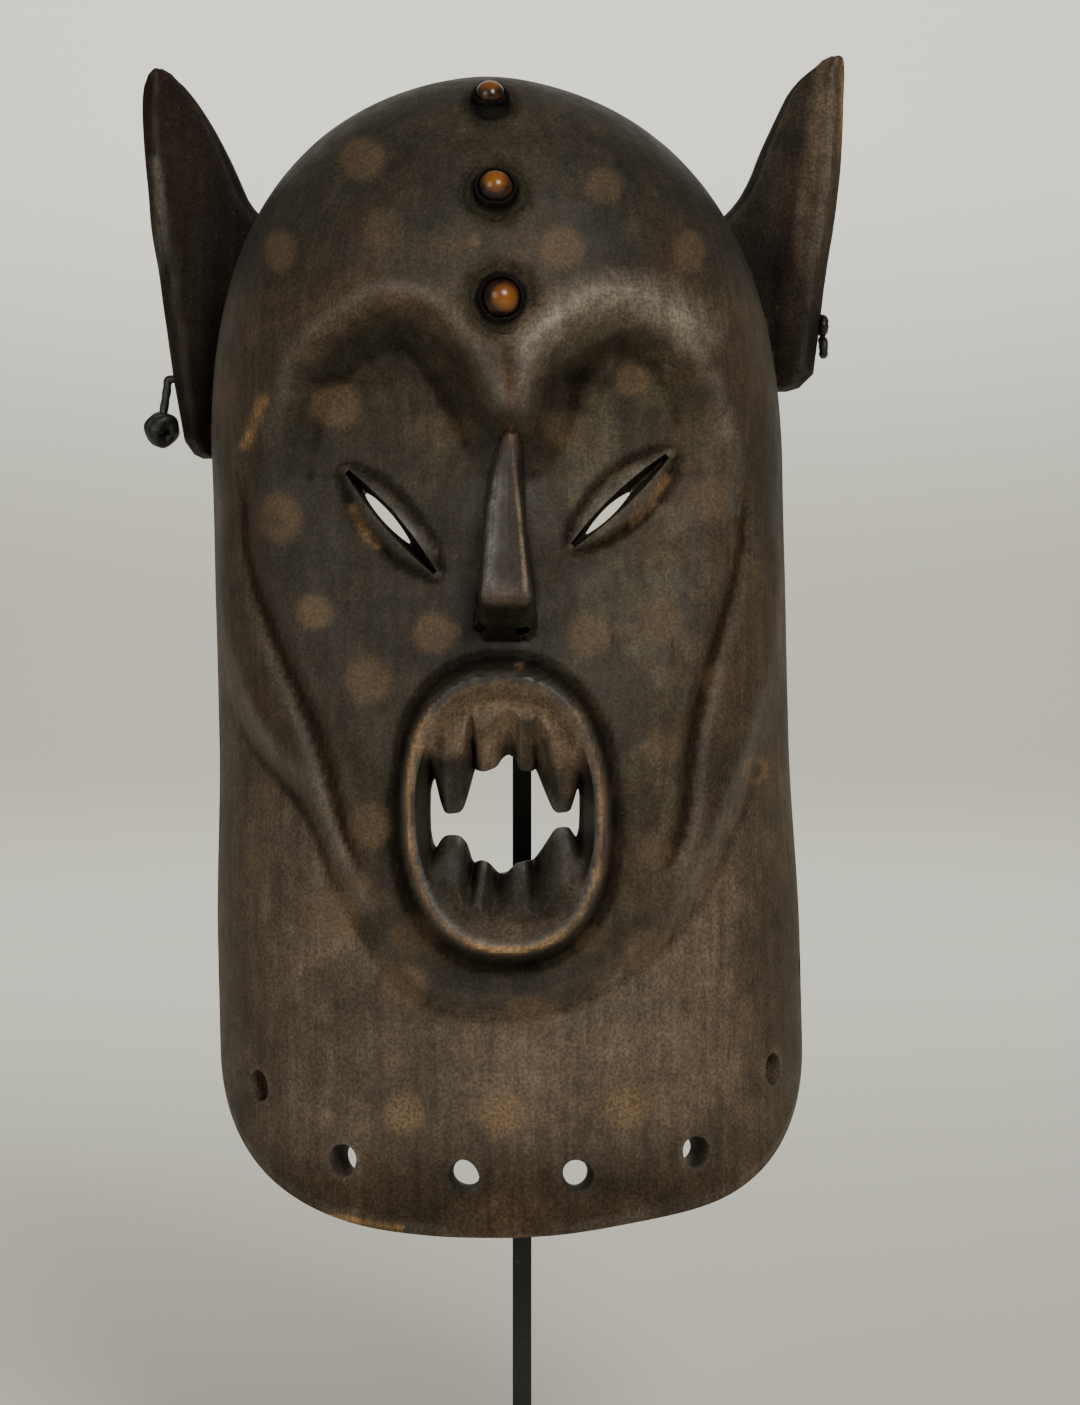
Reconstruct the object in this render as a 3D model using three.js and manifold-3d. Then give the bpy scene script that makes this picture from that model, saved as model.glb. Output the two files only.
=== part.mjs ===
// Carved African mask with flat horn-like ears and an open fanged mouth, held upright on a steel stand.
// Millimetres, +Z up. The face looks toward -Y, and +X is to the right of someone facing it.
// The mask's own sizes are given as x (across), h (height above its lowest point) and
// f (forward of the flat rear rim).
import * as THREE from 'three';
import { mergeVertices } from 'three/addons/utils/BufferGeometryUtils.js';
import Module from 'manifold-3d';

// Stand
const BASE_WIDTH = 160;
const BASE_DEPTH = 160;
const BASE_THICKNESS = 8;
const BASE_BEVEL = 1.5;
const COLLAR_WIDTH = 15;
const COLLAR_HEIGHT = 9;
const SOCKET_FLOOR = 2;
const ROD_WIDTH = 6.35;
const ARM_WIDTH = 5;
const UPPER_ARM_HALF_SPAN = 34;
const LOWER_ARM_HALF_SPAN = 46;
const LOWER_ARM_HEIGHT = 62;
const FIT_GAP = 0.3;

// Placing of the mask on the stand
const MASK_BOTTOM = 110;
const ROD_FORWARD = 35;
const MASK_SHIFT = -7;
const MASK_LEAN = 0.024;
const LEAN_PIVOT = 188;

// Overall form of the mask
const MASK_HEIGHT = 381;
const HALF_WIDTH = 98.5;
const APRON_FLARE = 2.2;
const FLARE_LOW = 90;
const FLARE_HIGH = 160;
const APRON_DEPTH = 95;
const SIDE_DEPTH = 10;
const ROUND_POWER = 2.2;
const DOME_START = MASK_HEIGHT - 141;
const DOME_POWER = 2.75;
const CROWN_START = MASK_HEIGHT - 86;
const CROWN_POWER = 2.3;
const CROWN_REACH = 45;
const REAR_DROP = 6;
const RIM_RISE = 74;
const RIM_RISE_POWER = 1.35;
const RIM_BLEND = 112;
const RIM_WEAR = 3;
const RIM_WEAR_X = 45;
const RIM_WEAR_SPREAD = 28;

// Hollow behind the face
const WALL_SIDE = 10;
const WALL_TOP = 14;
const WALL_APRON = 12;
const HOLLOW_FACE_DEPTH = 74;

// Head standing proud of the apron
const CHIN_RISE = 8;
const CHEEK_RISE = 13;
const BROW_RISE = 23;
const BROW_HEIGHT = 305;
const JAW_STEP = 7;
const JAW_RIDGE = 2.4;
const JAW_RIDGE_HALF = 4.5;
const GROOVE_DEPTH = 3.5;
const GROOVE_HALF = 3.5;
const BROW_CREST = 2;
const BROW_CREST_HALF = 6;
const BROW_RAMP = 19;
const CHEEK_RAMP = 26;

// Corners of the jaw line, from the left ear round under the chin to the right ear, as x, h
const JAW_CORNERS = [
  [-96, 262], [-92, 205], [-80, 167], [-58, 140], [-45, 110], [-28, 85], [-3, 78],
  [30, 87], [55, 108], [71, 137], [85, 171], [93, 205], [97, 262],
];
// Corners of the sunken face: brow notch, left brow, left cheek, chin, right cheek, right brow
const FACE_CORNERS = [
  [6, 266], [-4, 284], [-16, 298], [-31, 303], [-48, 298], [-66, 284], [-73, 268], [-81, 246],
  [-82, 220], [-72, 191], [-59, 160], [-50, 126], [-38, 102], [-18, 87], [-2, 84],
  [22, 89], [44, 106], [57, 130], [62, 163], [71, 194], [79, 222], [80, 252], [74, 274],
  [64, 293], [45, 302], [28, 298], [13, 284],
];

// Depth of the sunken face on its middle line, as h, f
const FACE_PROFILE = [
  [80, 102], [110, 103], [150, 103], [185, 99], [215, 95.5], [245, 95], [275, 98], [300, 106],
];
const FACE_CURVE = 0.0022;
const SOCKET_X = 41;
const SOCKET_HEIGHT = 262;
const SOCKET_SPREAD = 24;
const SOCKET_DEPTH = 7;

// Nose: height, middle x, forward reach above the face, half-width on top, half-width at its foot
const NOSE_STATIONS = [
  [280, 7.2, 14.5, 4.4, 11], [268, 7, 14.4, 3.2, 9.4], [258, 6.6, 13.4, 2.8, 8.4], [246, 6, 13.4, 3, 8],
  [232, 5.2, 16, 3.9, 8.6], [219, 4.2, 19.4, 5.2, 9.8], [209, 3.2, 22.6, 6.4, 11],
  [203, 2.8, 23.4, 7, 11.6], [199.5, 2.6, 19.6, 6.6, 11.4], [195.5, 2.5, 9.6, 5.6, 10.6], [190, 2.4, 1, 4, 9.4],
];
const NOSTRIL_X = 0.8;
const NOSTRIL_SPREAD = 6.9;
const NOSTRIL_RADIUS = 2.4;
const NOSTRIL_DEPTH = 12;

// Mouth
const MOUTH_X = 0.8;
const MOUTH_HEIGHT = 137;
const LIP_HALF_WIDTH = 31.8;
const LIP_HALF_HEIGHT = 44.2;
const LIP_BAND_WIDTH = 3.4;
const LIP_BAND_HEIGHT = 6.8;
const LIP_PROUD = 14;
const LIP_SPREAD = 6.5;
const OVAL_POWER = 2.35;
const OPENING_HALF_WIDTH = 24.4;
const OPENING_HALF_HEIGHT = 19.4;
const OPENING_HEIGHT = 136.6;
const OPENING_DEPTH = 12;
const OPENING_POWER = 2.8;

// Teeth: root x and h, tip x and h, width at the root and at the blunt tip
const TEETH = [
  [-14, 168, -15, 136.2, 14, 8], [-4.6, 167, -4, 150.4, 10.4, 8.6], [2, 166, 2, 157, 6, 4],
  [8, 167, 7.8, 150.4, 9, 6.2], [18.6, 167, 18.8, 136.8, 15, 7.6],
  [-16.6, 105, -15.4, 130.4, 16.5, 8.4], [-5.4, 106, -5.4, 121.4, 9.6, 6.8], [2.2, 106, 2.6, 119.4, 8, 4.8],
  [8.8, 106, 8, 120.8, 8, 5.2], [19, 105, 19.6, 132.4, 18.5, 8],
];
const TOOTH_DEPTH = 8.2;
const TOOTH_INSET = 9.5;
const TOOTH_LEAN = 3.4;

// Eyes: outer end and inner end of the raised lids, then of the slit, as x, h; then lid and slit widths
const EYES = [
  { lids: [[-49, 248], [-19, 212.5]], slit: [[-43.4, 241.4], [-26.8, 222]], width: 15, slitWidth: 4.2 },
  { lids: [[57.2, 253], [23.4, 221.4]], slit: [[46.4, 243], [27.8, 225.4]], width: 16, slitWidth: 3.8 },
];
const LID_HEIGHT = 6;
const LID_MOUTH = 2.1;

// Bead seats: name, x, h, seat radius, bead radius
const BEADS = [
  ['bead_low', 3.6, MASK_HEIGHT - 82.5, 10.9, 6.1],
  ['bead_middle', 2.6, MASK_HEIGHT - 48, 9.8, 5.1],
  ['bead_top', 1.4, MASK_HEIGHT - 17, 8, 4.3],
];
const SEAT_HEIGHT = 3.4;
const SEAT_TOP = 0.66;
const BEAD_SUNK = 0.1;

// Lacing holes: front row as x, h; side row as side, f, h
const FRONT_HOLES = [[-83.5, 45], [-54.6, 23.6], [-15.5, 20], [21.5, 20], [60.2, 26], [87.6, 50]];
const SIDE_HOLES = [[-1, 24, 159], [-1, 24, 117], [-1, 24, 80], [1, 24, 81]];
const HOLE_RADIUS = 4.4;

// Ears: h, outer x, inner x; x is measured from the mask's middle, the inner edge ends in the head
const LEFT_EAR = [
  [257.5, 103.5, 84], [260.5, 109.2, 84], [284, 112.6, 84], [305, 115, 83], [326, 117.9, 76], [338, 119.4, 76], [345, 120, 84],
  [354, 120.5, 87.6], [364, 121.3, 91.9], [376, 121.8, 98.2], [385, 121.7, 104.2], [391, 120.4, 109.6],
  [393.6, 118, 113.6],
];
const RIGHT_EAR = [
  [281, 102, 85], [284, 110.8, 84.6], [296, 112.4, 84], [310, 114.6, 82], [327, 117.4, 76], [338, 119.6, 76], [345, 120.9, 84.6],
  [354, 122, 90], [365, 123.1, 94.4], [376, 123.9, 99.8], [387, 124.4, 105.4], [394, 125, 113], [398, 124.4, 119.6],
];
const EAR_THICKNESS = 12;
const EAR_EDGE = 4;
const EAR_BEVEL = 4.2;
const EAR_SCOOP = 3.2;
const EAR_TIP_THIN = 0.5;

// Thongs: where the hole in the ear's outer edge is, and how the thong hangs
const THONG_RADIUS = 1.5;
const THONG_HOLE_DEPTH = 6;
const LEFT_THONG_HEIGHT = 285;
const LEFT_THONG_DROP = 17.6;
const RIGHT_THONG_HEIGHT = 304;
const KNOT_RADIUS = 3.9;
const KNOT_ROPE = 2.5;
const LOOP_RADIUS = 3.1;
const LOOP_ROPE = 1.25;

// How finely the forms are faceted
const FLAT_COLUMNS = 15;
const ROUND_COLUMNS = 4;
const FLAT_SHARE = 0.86;
const APRON_ROWS = 5;
const FACE_ROWS = 39;
const DOME_ROWS = 10;
const APRON_TOP = 66;
const DOME_SHARE = 0.8;
const HOLLOW_COLUMNS = 5;
const HOLLOW_ROWS = 6;
const OVAL_STEPS = 32;
const TOOTH_SIDES = 7;
const LINE_STEPS = 3;

const wasm = await Module();
wasm.setup();

function clamp(value, low, high) {
  return Math.min(high, Math.max(low, value));
}

function smooth(low, high, value) {
  const t = clamp((value - low) / (high - low), 0, 1);
  return t * t * (3 - 2 * t);
}

function mix(a, b, t) {
  return a + (b - a) * t;
}

// Straight reading between the rows of a short table whose first column rises.
function readTable(table, at, column) {
  if (at <= table[0][0]) return table[0][column];
  for (let i = 1; i < table.length; i += 1) {
    if (at <= table[i][0]) {
      const t = (at - table[i - 1][0]) / (table[i][0] - table[i - 1][0]);
      return mix(table[i - 1][column], table[i][column], t);
    }
  }
  return table[table.length - 1][column];
}

// A closed smooth line through the corners, as short straight pieces.
function closedLine(corners, steps) {
  const line = [];
  const count = corners.length;
  for (let i = 0; i < count; i += 1) {
    const [p0, p1, p2, p3] = [-1, 0, 1, 2].map((k) => corners[(i + k + count) % count]);
    for (let s = 0; s < steps; s += 1) {
      const t = s / steps;
      line.push([0, 1].map((c) => 0.5 * (
        2 * p1[c] + (p2[c] - p0[c]) * t
        + (2 * p0[c] - 5 * p1[c] + 4 * p2[c] - p3[c]) * t * t
        + (3 * p1[c] - p0[c] - 3 * p2[c] + p3[c]) * t * t * t
      )));
    }
  }
  return line;
}

// Nearest point of a closed line and the distance to it, positive inside the line.
function nearestOn(line, x, h) {
  let best = Infinity;
  let point = null;
  let inside = false;
  for (let i = 0; i < line.length; i += 1) {
    const [ax, ah] = line[i];
    const [bx, bh] = line[(i + 1) % line.length];
    const dx = bx - ax;
    const dh = bh - ah;
    const t = clamp(((x - ax) * dx + (h - ah) * dh) / (dx * dx + dh * dh), 0, 1);
    const distance = Math.hypot(x - ax - dx * t, h - ah - dh * t);
    if (distance < best) {
      best = distance;
      point = [ax + dx * t, ah + dh * t];
    }
    if ((ah > h) !== (bh > h) && x < ax + ((h - ah) / dh) * dx) inside = !inside;
  }
  return { distance: inside ? best : -best, point };
}

function insideDistance(line, x, h) {
  return nearestOn(line, x, h).distance;
}

const HEAD_TOP = MASK_HEIGHT + 60;
const HEAD_SIDE = HALF_WIDTH + 60;
const jawLine = closedLine(
  [...JAW_CORNERS, [HEAD_SIDE, HEAD_TOP - 60], [HEAD_SIDE, HEAD_TOP], [-HEAD_SIDE, HEAD_TOP],
    [-HEAD_SIDE, HEAD_TOP - 60]],
  LINE_STEPS,
);
const faceLine = closedLine(FACE_CORNERS, LINE_STEPS);

// Half-width of the mask at a height; shrink takes it in for the hollow.
function halfWidth(h, shrink, top) {
  const t = Math.max(0, (h - DOME_START) / (top - DOME_START));
  const flare = APRON_FLARE * (1 - smooth(FLARE_LOW, FLARE_HIGH, h));
  const side = HALF_WIDTH + flare - shrink;
  return side * Math.pow(Math.max(0, 1 - Math.pow(t, DOME_POWER)), 1 / ROUND_POWER);
}

function crownShare(h, top) {
  const t = Math.max(0, (h - CROWN_START) / (top - CROWN_START));
  return Math.pow(Math.max(0, 1 - Math.pow(t, CROWN_POWER)), 1 / ROUND_POWER);
}

function roundShare(x, width) {
  const across = Math.min(1, Math.abs(x) / Math.max(width, 0.001));
  return Math.pow(Math.max(0, 1 - Math.pow(across, ROUND_POWER)), 1 / ROUND_POWER);
}

// Lets carving fade out smoothly toward the side rim.
function rimFade(share) {
  return 1 - (1 - share) ** 2;
}

function headRise(h) {
  const low = mix(CHIN_RISE, CHEEK_RISE, smooth(80, 200, h));
  return mix(low, BROW_RISE, smooth(200, BROW_HEIGHT, h)) * crownShare(h, MASK_HEIGHT);
}

function faceDepth(x, h) {
  const across = (Math.abs(x) - SOCKET_X) / SOCKET_SPREAD;
  const up = (h - SOCKET_HEIGHT) / SOCKET_SPREAD;
  const socket = SOCKET_DEPTH * Math.exp(-across * across - up * up);
  return readTable(FACE_PROFILE, h, 1) - FACE_CURVE * x * x - socket;
}

// Forward reach of the mask's outside at x, h, without the nose, lips, lids and bead seats.
function skinDepth(x, h) {
  const width = halfWidth(h, 0, MASK_HEIGHT);
  const share = roundShare(x, width);
  const reach = mix(CROWN_REACH, APRON_DEPTH, crownShare(h, MASK_HEIGHT));
  const base = SIDE_DEPTH + (reach - SIDE_DEPTH) * share;
  const jaw = insideDistance(jawLine, x, h);
  const jawFade = 1 - smooth(225, 255, h);
  const ridge = JAW_RIDGE * Math.exp(-((jaw / JAW_RIDGE_HALF) ** 2)) * jawFade;
  const outside = base + (smooth(-JAW_STEP, 0, jaw) * headRise(h) + ridge) * rimFade(share);
  const face = insideDistance(faceLine, x, h);
  const upper = smooth(232, 262, h);
  const groove = GROOVE_DEPTH * Math.exp(-((face / GROOVE_HALF) ** 2)) * (1 - upper) * smooth(110, 130, h);
  const crest = BROW_CREST * Math.exp(-((face / BROW_CREST_HALF) ** 2)) * upper;
  const inside = smooth(0, mix(CHEEK_RAMP, BROW_RAMP, upper), face);
  const sunken = Math.min(outside, faceDepth(x, h));
  return mix(outside, sunken, inside) + (crest - groove) * rimFade(share);
}

// Lower edge of the wall at forward reach f: it rises toward the back, and is worn away a little on the right.
function rimHeight(x, f) {
  const worn = RIM_WEAR * Math.exp(-(((x - RIM_WEAR_X) / RIM_WEAR_SPREAD) ** 2));
  return worn + RIM_RISE * Math.pow(clamp((APRON_DEPTH - f) / APRON_DEPTH, 0, 2), RIM_RISE_POWER);
}

// Lifts the low rows onto the rising rim and lets the crown fall a little toward the back.
function settle(x, level, f, drop) {
  const lift = rimHeight(x, f) * Math.max(0, 1 - level / RIM_BLEND);
  const behind = Math.max(0, 1 - f / CROWN_REACH);
  const fall = drop * smooth(300, MASK_HEIGHT, level) * behind * behind;
  return [x, level + lift - fall, f];
}

// From the mask's x, h, f to the stand's frame: a slight lean, then forward becomes -Y.
const toStand = new THREE.Matrix4().set(
  1, -MASK_LEAN, 0, MASK_SHIFT + MASK_LEAN * LEAN_PIVOT,
  0, 0, -1, ROD_FORWARD,
  0, 1, 0, MASK_BOTTOM,
  0, 0, 0, 1,
);

// A closed geometry as a solid that can be cut and joined.
function solidOf(geometry) {
  const bare = geometry.clone();
  bare.deleteAttribute('normal');
  bare.deleteAttribute('uv');
  const merged = mergeVertices(bare);
  return new wasm.Manifold(new wasm.Mesh({
    numProp: 3,
    vertProperties: new Float32Array(merged.attributes.position.array),
    triVerts: new Uint32Array(merged.index.array),
  }));
}

// A geometry from corner points and triangles; the winding is turned so that faces look out.
function geometryFrom(points, triangles) {
  let volume = 0;
  for (const corners of triangles) {
    const [a, b, c] = corners.map((i) => new THREE.Vector3(...points[i]));
    volume += a.dot(b.cross(c));
  }
  const wound = volume > 0 ? triangles : triangles.map(([i, j, k]) => [i, k, j]);
  const geometry = new THREE.BufferGeometry();
  geometry.setAttribute('position', new THREE.Float32BufferAttribute(points.flat(), 3));
  geometry.setIndex(wound.flat());
  return geometry;
}

// A closed form through a row of rings with the same number of points, capped at both ends.
function ringGeometry(rings) {
  const count = rings[0].length;
  const points = rings.flat();
  const triangles = [];
  for (let r = 0; r + 1 < rings.length; r += 1) {
    for (let i = 0; i < count; i += 1) {
      const j = (i + 1) % count;
      const [a, b] = [r * count + i, r * count + j];
      triangles.push([a, b, b + count], [a, b + count, a + count]);
    }
  }
  for (const [ring, turned] of [[0, true], [rings.length - 1, false]]) {
    points.push([0, 1, 2].map((k) => rings[ring].reduce((sum, p) => sum + p[k], 0) / count));
    for (let i = 0; i < count; i += 1) {
      const pair = [ring * count + i, ring * count + ((i + 1) % count)];
      if (turned) pair.reverse();
      triangles.push([...pair, points.length - 1]);
    }
  }
  return geometryFrom(points, triangles);
}

// The half-round form closed by its flat back: rows of x, h, f from the left rim round to the right rim.
// Each four-sided face is split along the diagonal that lies nearer to the true surface.
function halfRoundGeometry(rows, depthAt) {
  const count = rows[0].length;
  const points = rows.flat();
  const triangles = [];
  const miss = (a, b) => {
    const [x, h, f] = [0, 1, 2].map((k) => (points[a][k] + points[b][k]) / 2);
    return Math.abs(depthAt(x, h) - f);
  };
  const quad = (a, b, c, d) => {
    if (depthAt && points[a][2] > SIDE_DEPTH * 2 && miss(b, d) < miss(a, c)) {
      triangles.push([a, b, d], [b, c, d]);
    } else {
      triangles.push([a, b, c], [a, c, d]);
    }
  };
  for (let r = 0; r + 1 < rows.length; r += 1) {
    const [low, high] = [r * count, (r + 1) * count];
    for (let i = 0; i + 1 < count; i += 1) quad(low + i, low + i + 1, high + i + 1, high + i);
    quad(low + count - 1, low, high, high + count - 1);
  }
  const top = (rows.length - 1) * count;
  const half = (count - 1) / 2;
  for (let i = 0; i + 1 < half; i += 1) {
    const [a, b, c, d] = [i, i + 1, count - 2 - i, count - 1 - i];
    triangles.push([b, a, d], [b, d, c]);
    triangles.push([top + a, top + b, top + c], [top + a, top + c, top + d]);
  }
  triangles.push([half, half - 1, half + 1], [top + half - 1, top + half, top + half + 1]);
  return geometryFrom(points, triangles);
}

// Shares across the width for the columns on one side of the middle.
function columnShares(flat, round) {
  const start = Math.asin(FLAT_SHARE);
  const shares = [];
  for (let i = 1; i <= flat; i += 1) shares.push((FLAT_SHARE * i) / flat);
  for (let i = 1; i <= round; i += 1) shares.push(Math.sin(mix(start, Math.PI / 2, i / round)));
  return shares;
}

function rowLevels(apron, face, dome, top) {
  const faceTop = top * DOME_SHARE;
  const levels = [];
  for (let i = 0; i < apron; i += 1) levels.push((APRON_TOP * i) / apron);
  for (let i = 0; i < face; i += 1) levels.push(mix(APRON_TOP, faceTop, i / face));
  for (let i = 0; i < dome; i += 1) levels.push(faceTop + (top - faceTop) * Math.sin((Math.PI / 2) * (i / dome)));
  levels.push(top - 0.12);
  return levels;
}

// Draws a grid point onto the jaw line or the face line when one of them runs close by.
function snapToLines(x, h, width, reach) {
  if (Math.abs(x) > width * FLAT_SHARE) return [x, h];
  const near = [jawLine, faceLine].map((line) => nearestOn(line, x, h));
  near.sort((a, b) => Math.abs(a.distance) - Math.abs(b.distance));
  const { distance, point } = near[0];
  if (Math.abs(distance) > reach || Math.abs(point[0]) > width * FLAT_SHARE) return [x, h];
  return point;
}

function outerGeometry() {
  const shares = columnShares(FLAT_COLUMNS, ROUND_COLUMNS);
  const reach = (0.42 * HALF_WIDTH * FLAT_SHARE) / FLAT_COLUMNS;
  const rows = rowLevels(APRON_ROWS, FACE_ROWS, DOME_ROWS, MASK_HEIGHT).map((level) => {
    const width = halfWidth(level, 0, MASK_HEIGHT);
    const across = [...shares.map((s) => -s * width).reverse(), 0, ...shares.map((s) => s * width)];
    const row = across.map((x) => {
      const base = SIDE_DEPTH + (APRON_DEPTH - SIDE_DEPTH) * roundShare(x, width);
      const lifted = level + rimHeight(x, base) * Math.max(0, 1 - level / RIM_BLEND);
      if (base < SIDE_DEPTH * 2 || level > CROWN_START) return settle(x, level, skinDepth(x, level), REAR_DROP);
      const [sx, sh] = snapToLines(x, lifted, width, reach);
      return [sx, sh, skinDepth(sx, sh)];
    });
    const rim = [-width, width].map((x) => settle(x, level, 0, REAR_DROP));
    return [rim[0], ...row, rim[1]];
  });
  return halfRoundGeometry(rows, skinDepth);
}

// Forward reach of the hollow at a level.
function hollowReach(h) {
  const top = MASK_HEIGHT - WALL_TOP;
  const low = mix(APRON_DEPTH - WALL_APRON, HOLLOW_FACE_DEPTH, smooth(60, 130, h));
  return mix(CROWN_REACH - WALL_TOP, low, crownShare(h, top));
}

function hollowDepth(x, h) {
  const width = halfWidth(h, WALL_SIDE, MASK_HEIGHT - WALL_TOP);
  return SIDE_DEPTH + (hollowReach(h) - SIDE_DEPTH) * roundShare(x, width);
}

// Height of the hollow's ceiling at x.
function ceilingHeight(x) {
  const top = MASK_HEIGHT - WALL_TOP;
  const share = clamp(Math.abs(x) / (HALF_WIDTH - WALL_SIDE), 0, 1);
  return DOME_START + (top - DOME_START) * Math.pow(1 - share ** ROUND_POWER, 1 / DOME_POWER);
}

function hollowGeometry() {
  const top = MASK_HEIGHT - WALL_TOP;
  const shares = columnShares(HOLLOW_COLUMNS, 3);
  const rows = [-RIM_RISE / 3, ...rowLevels(2, HOLLOW_ROWS, 6, top)].map((level) => {
    const width = halfWidth(level, WALL_SIDE, top);
    const across = [...shares.map((s) => -s * width).reverse(), 0, ...shares.map((s) => s * width)];
    const row = across.map((x) => settle(x, level, hollowDepth(x, level), REAR_DROP));
    const rim = [-width, width].map((x) => settle(x, level, -REAR_DROP, REAR_DROP / 4));
    return [rim[0], ...row, rim[1]];
  });
  return halfRoundGeometry(rows);
}

// Points round the mouth's upright oval, each at the forward reach that f gives for its x.
function ovalRing(halfX, halfH, middleH, f, power = OVAL_POWER) {
  const ring = [];
  for (let i = 0; i < OVAL_STEPS; i += 1) {
    const angle = (2 * Math.PI * i) / OVAL_STEPS;
    const [c, s] = [Math.cos(angle), Math.sin(angle)];
    const x = MOUTH_X + halfX * Math.sign(c) * Math.abs(c) ** (2 / power);
    const h = middleH + halfH * Math.sign(s) * Math.abs(s) ** (2 / power);
    ring.push([x, h, f(x)]);
  }
  return ring;
}

// Forward reach of the lip band, which follows the face's bend.
function lipDepth(x) {
  return faceDepth(0, MOUTH_HEIGHT) + LIP_PROUD - FACE_CURVE * x * x * 2;
}

function lipGeometry() {
  const stations = [
    [LIP_SPREAD * 1.15, LIP_PROUD + 9], [LIP_SPREAD, LIP_PROUD + 1], [LIP_SPREAD * 0.55, LIP_PROUD * 0.62],
    [LIP_SPREAD * 0.2, LIP_PROUD * 0.28], [0.2, 1.2], [0.8 - LIP_BAND_WIDTH, 0],
  ];
  return ringGeometry(stations.map(([grow, back]) => ovalRing(
    LIP_HALF_WIDTH + grow, LIP_HALF_HEIGHT + grow, MOUTH_HEIGHT, (x) => lipDepth(x) - back,
  )));
}

// The gums slope in from the lip band to the opening; behind it the opening widens into the hollow.
function mouthGeometry() {
  const stations = [
    [0.8, 0, -12], [0.3, 0, 0], [0, 0.08, 2], [0, 0.62, OPENING_DEPTH * 0.55], [0, 1, OPENING_DEPTH],
    [2, 1, OPENING_DEPTH + LIP_PROUD + 36],
  ];
  return ringGeometry(stations.map(([grow, share, back]) => ovalRing(
    mix(LIP_HALF_WIDTH - LIP_BAND_WIDTH, OPENING_HALF_WIDTH, share) + grow,
    mix(LIP_HALF_HEIGHT - LIP_BAND_HEIGHT, OPENING_HALF_HEIGHT, share) + grow,
    mix(MOUTH_HEIGHT, OPENING_HEIGHT, share),
    (x) => lipDepth(x) - back,
    mix(OVAL_POWER, OPENING_POWER, share),
  )));
}

// A tapering tooth, a little flattened, that leans back toward its blunt tip.
function toothGeometry([rootX, rootH, tipX, tipH, width, tipWidth]) {
  const stations = [[0, 0], [0.45, 0.32], [0.92, 1], [1, 1]];
  return ringGeometry(stations.map(([along, taper]) => {
    const half = (mix(width, tipWidth, taper) / 2) * (along < 1 ? 1 : 0.5);
    const deep = half * (TOOTH_DEPTH / width);
    const middle = lipDepth(rootX) - TOOTH_INSET - TOOTH_LEAN * along;
    const ring = [];
    for (let i = 0; i < TOOTH_SIDES; i += 1) {
      const angle = (2 * Math.PI * (i + 0.5)) / TOOTH_SIDES;
      const x = mix(rootX, tipX, along) + half * Math.cos(angle);
      ring.push([x, mix(rootH, tipH, along), middle + deep * Math.sin(angle)]);
    }
    return ring;
  }));
}

function noseGeometry() {
  return ringGeometry(NOSE_STATIONS.map(([h, middle, proud, top, foot]) => {
    const ground = faceDepth(0, h);
    const crest = ground + proud;
    const half = [
      [foot, ground - 7], [foot, ground - 1], [mix(top, foot, 0.38), crest - proud * 0.55],
      [top, crest - 1.1], [top * 0.55, crest],
    ];
    const left = half.map(([x, f]) => [middle - x, h, f]);
    const right = half.map(([x, f]) => [middle + x, h, f]).reverse();
    return [...left, ...right];
  }));
}

// A round bar that starts at a point and runs along a direction, both in x, h, f.
function boreGeometry(start, direction, length, radius, sides) {
  const axis = new THREE.Vector3(...direction).normalize();
  const turn = new THREE.Quaternion().setFromUnitVectors(new THREE.Vector3(0, 1, 0), axis);
  const geometry = new THREE.CylinderGeometry(radius, radius, length, sides);
  geometry.translate(0, length / 2, 0);
  geometry.applyQuaternion(turn);
  geometry.translate(...start);
  return geometry;
}

// The nostrils run up and back from the sloping underside of the nose.
function nostrilBores() {
  const under = NOSE_STATIONS[NOSE_STATIONS.length - 2];
  const f = faceDepth(0, under[0]) + under[2] + 2;
  return [-1, 1].map((side) => boreGeometry(
    [NOSTRIL_X + side * NOSTRIL_SPREAD, under[0] - 4, f], [0, 0.5, -1], NOSTRIL_DEPTH, NOSTRIL_RADIUS, 8,
  ));
}

// A spindle lying on the face between two points; section gives its outline for a share of the full width.
function spindleGeometry([ax, ah], [bx, bh], stations, section) {
  const length = Math.hypot(bx - ax, bh - ah);
  const across = [-(bh - ah) / length, (bx - ax) / length];
  const rings = [];
  for (let i = 0; i <= stations; i += 1) {
    const s = i / stations;
    const share = Math.pow(Math.sin(Math.PI * mix(0.03, 0.97, s)), 0.75);
    const [cx, ch] = [mix(ax, bx, s), mix(ah, bh, s)];
    const ground = skinDepth(cx, ch);
    rings.push(section(share).map(([w, rise]) => [cx + across[0] * w, ch + across[1] * w, ground + rise]));
  }
  return ringGeometry(rings);
}

function lidGeometry({ lids, width }) {
  return spindleGeometry(lids[0], lids[1], 10, (share) => {
    const half = (width / 2) * share;
    const rise = LID_HEIGHT * share;
    const side = [[half, -3], [half, 0], [half * 0.72, rise * 0.72], [half * 0.34, rise]];
    return [...side, ...side.map(([w, f]) => [-w, f]).reverse()];
  });
}

function slitGeometry({ slit, slitWidth }) {
  return spindleGeometry(slit[0], slit[1], 8, (share) => {
    const half = (slitWidth / 2) * share;
    const side = [[half * 1.6, -30], [half, -4], [half, 0], [half * LID_MOUTH, LID_HEIGHT + 4]];
    return [...side, ...side.map(([w, f]) => [-w, f]).reverse()];
  });
}

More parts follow.
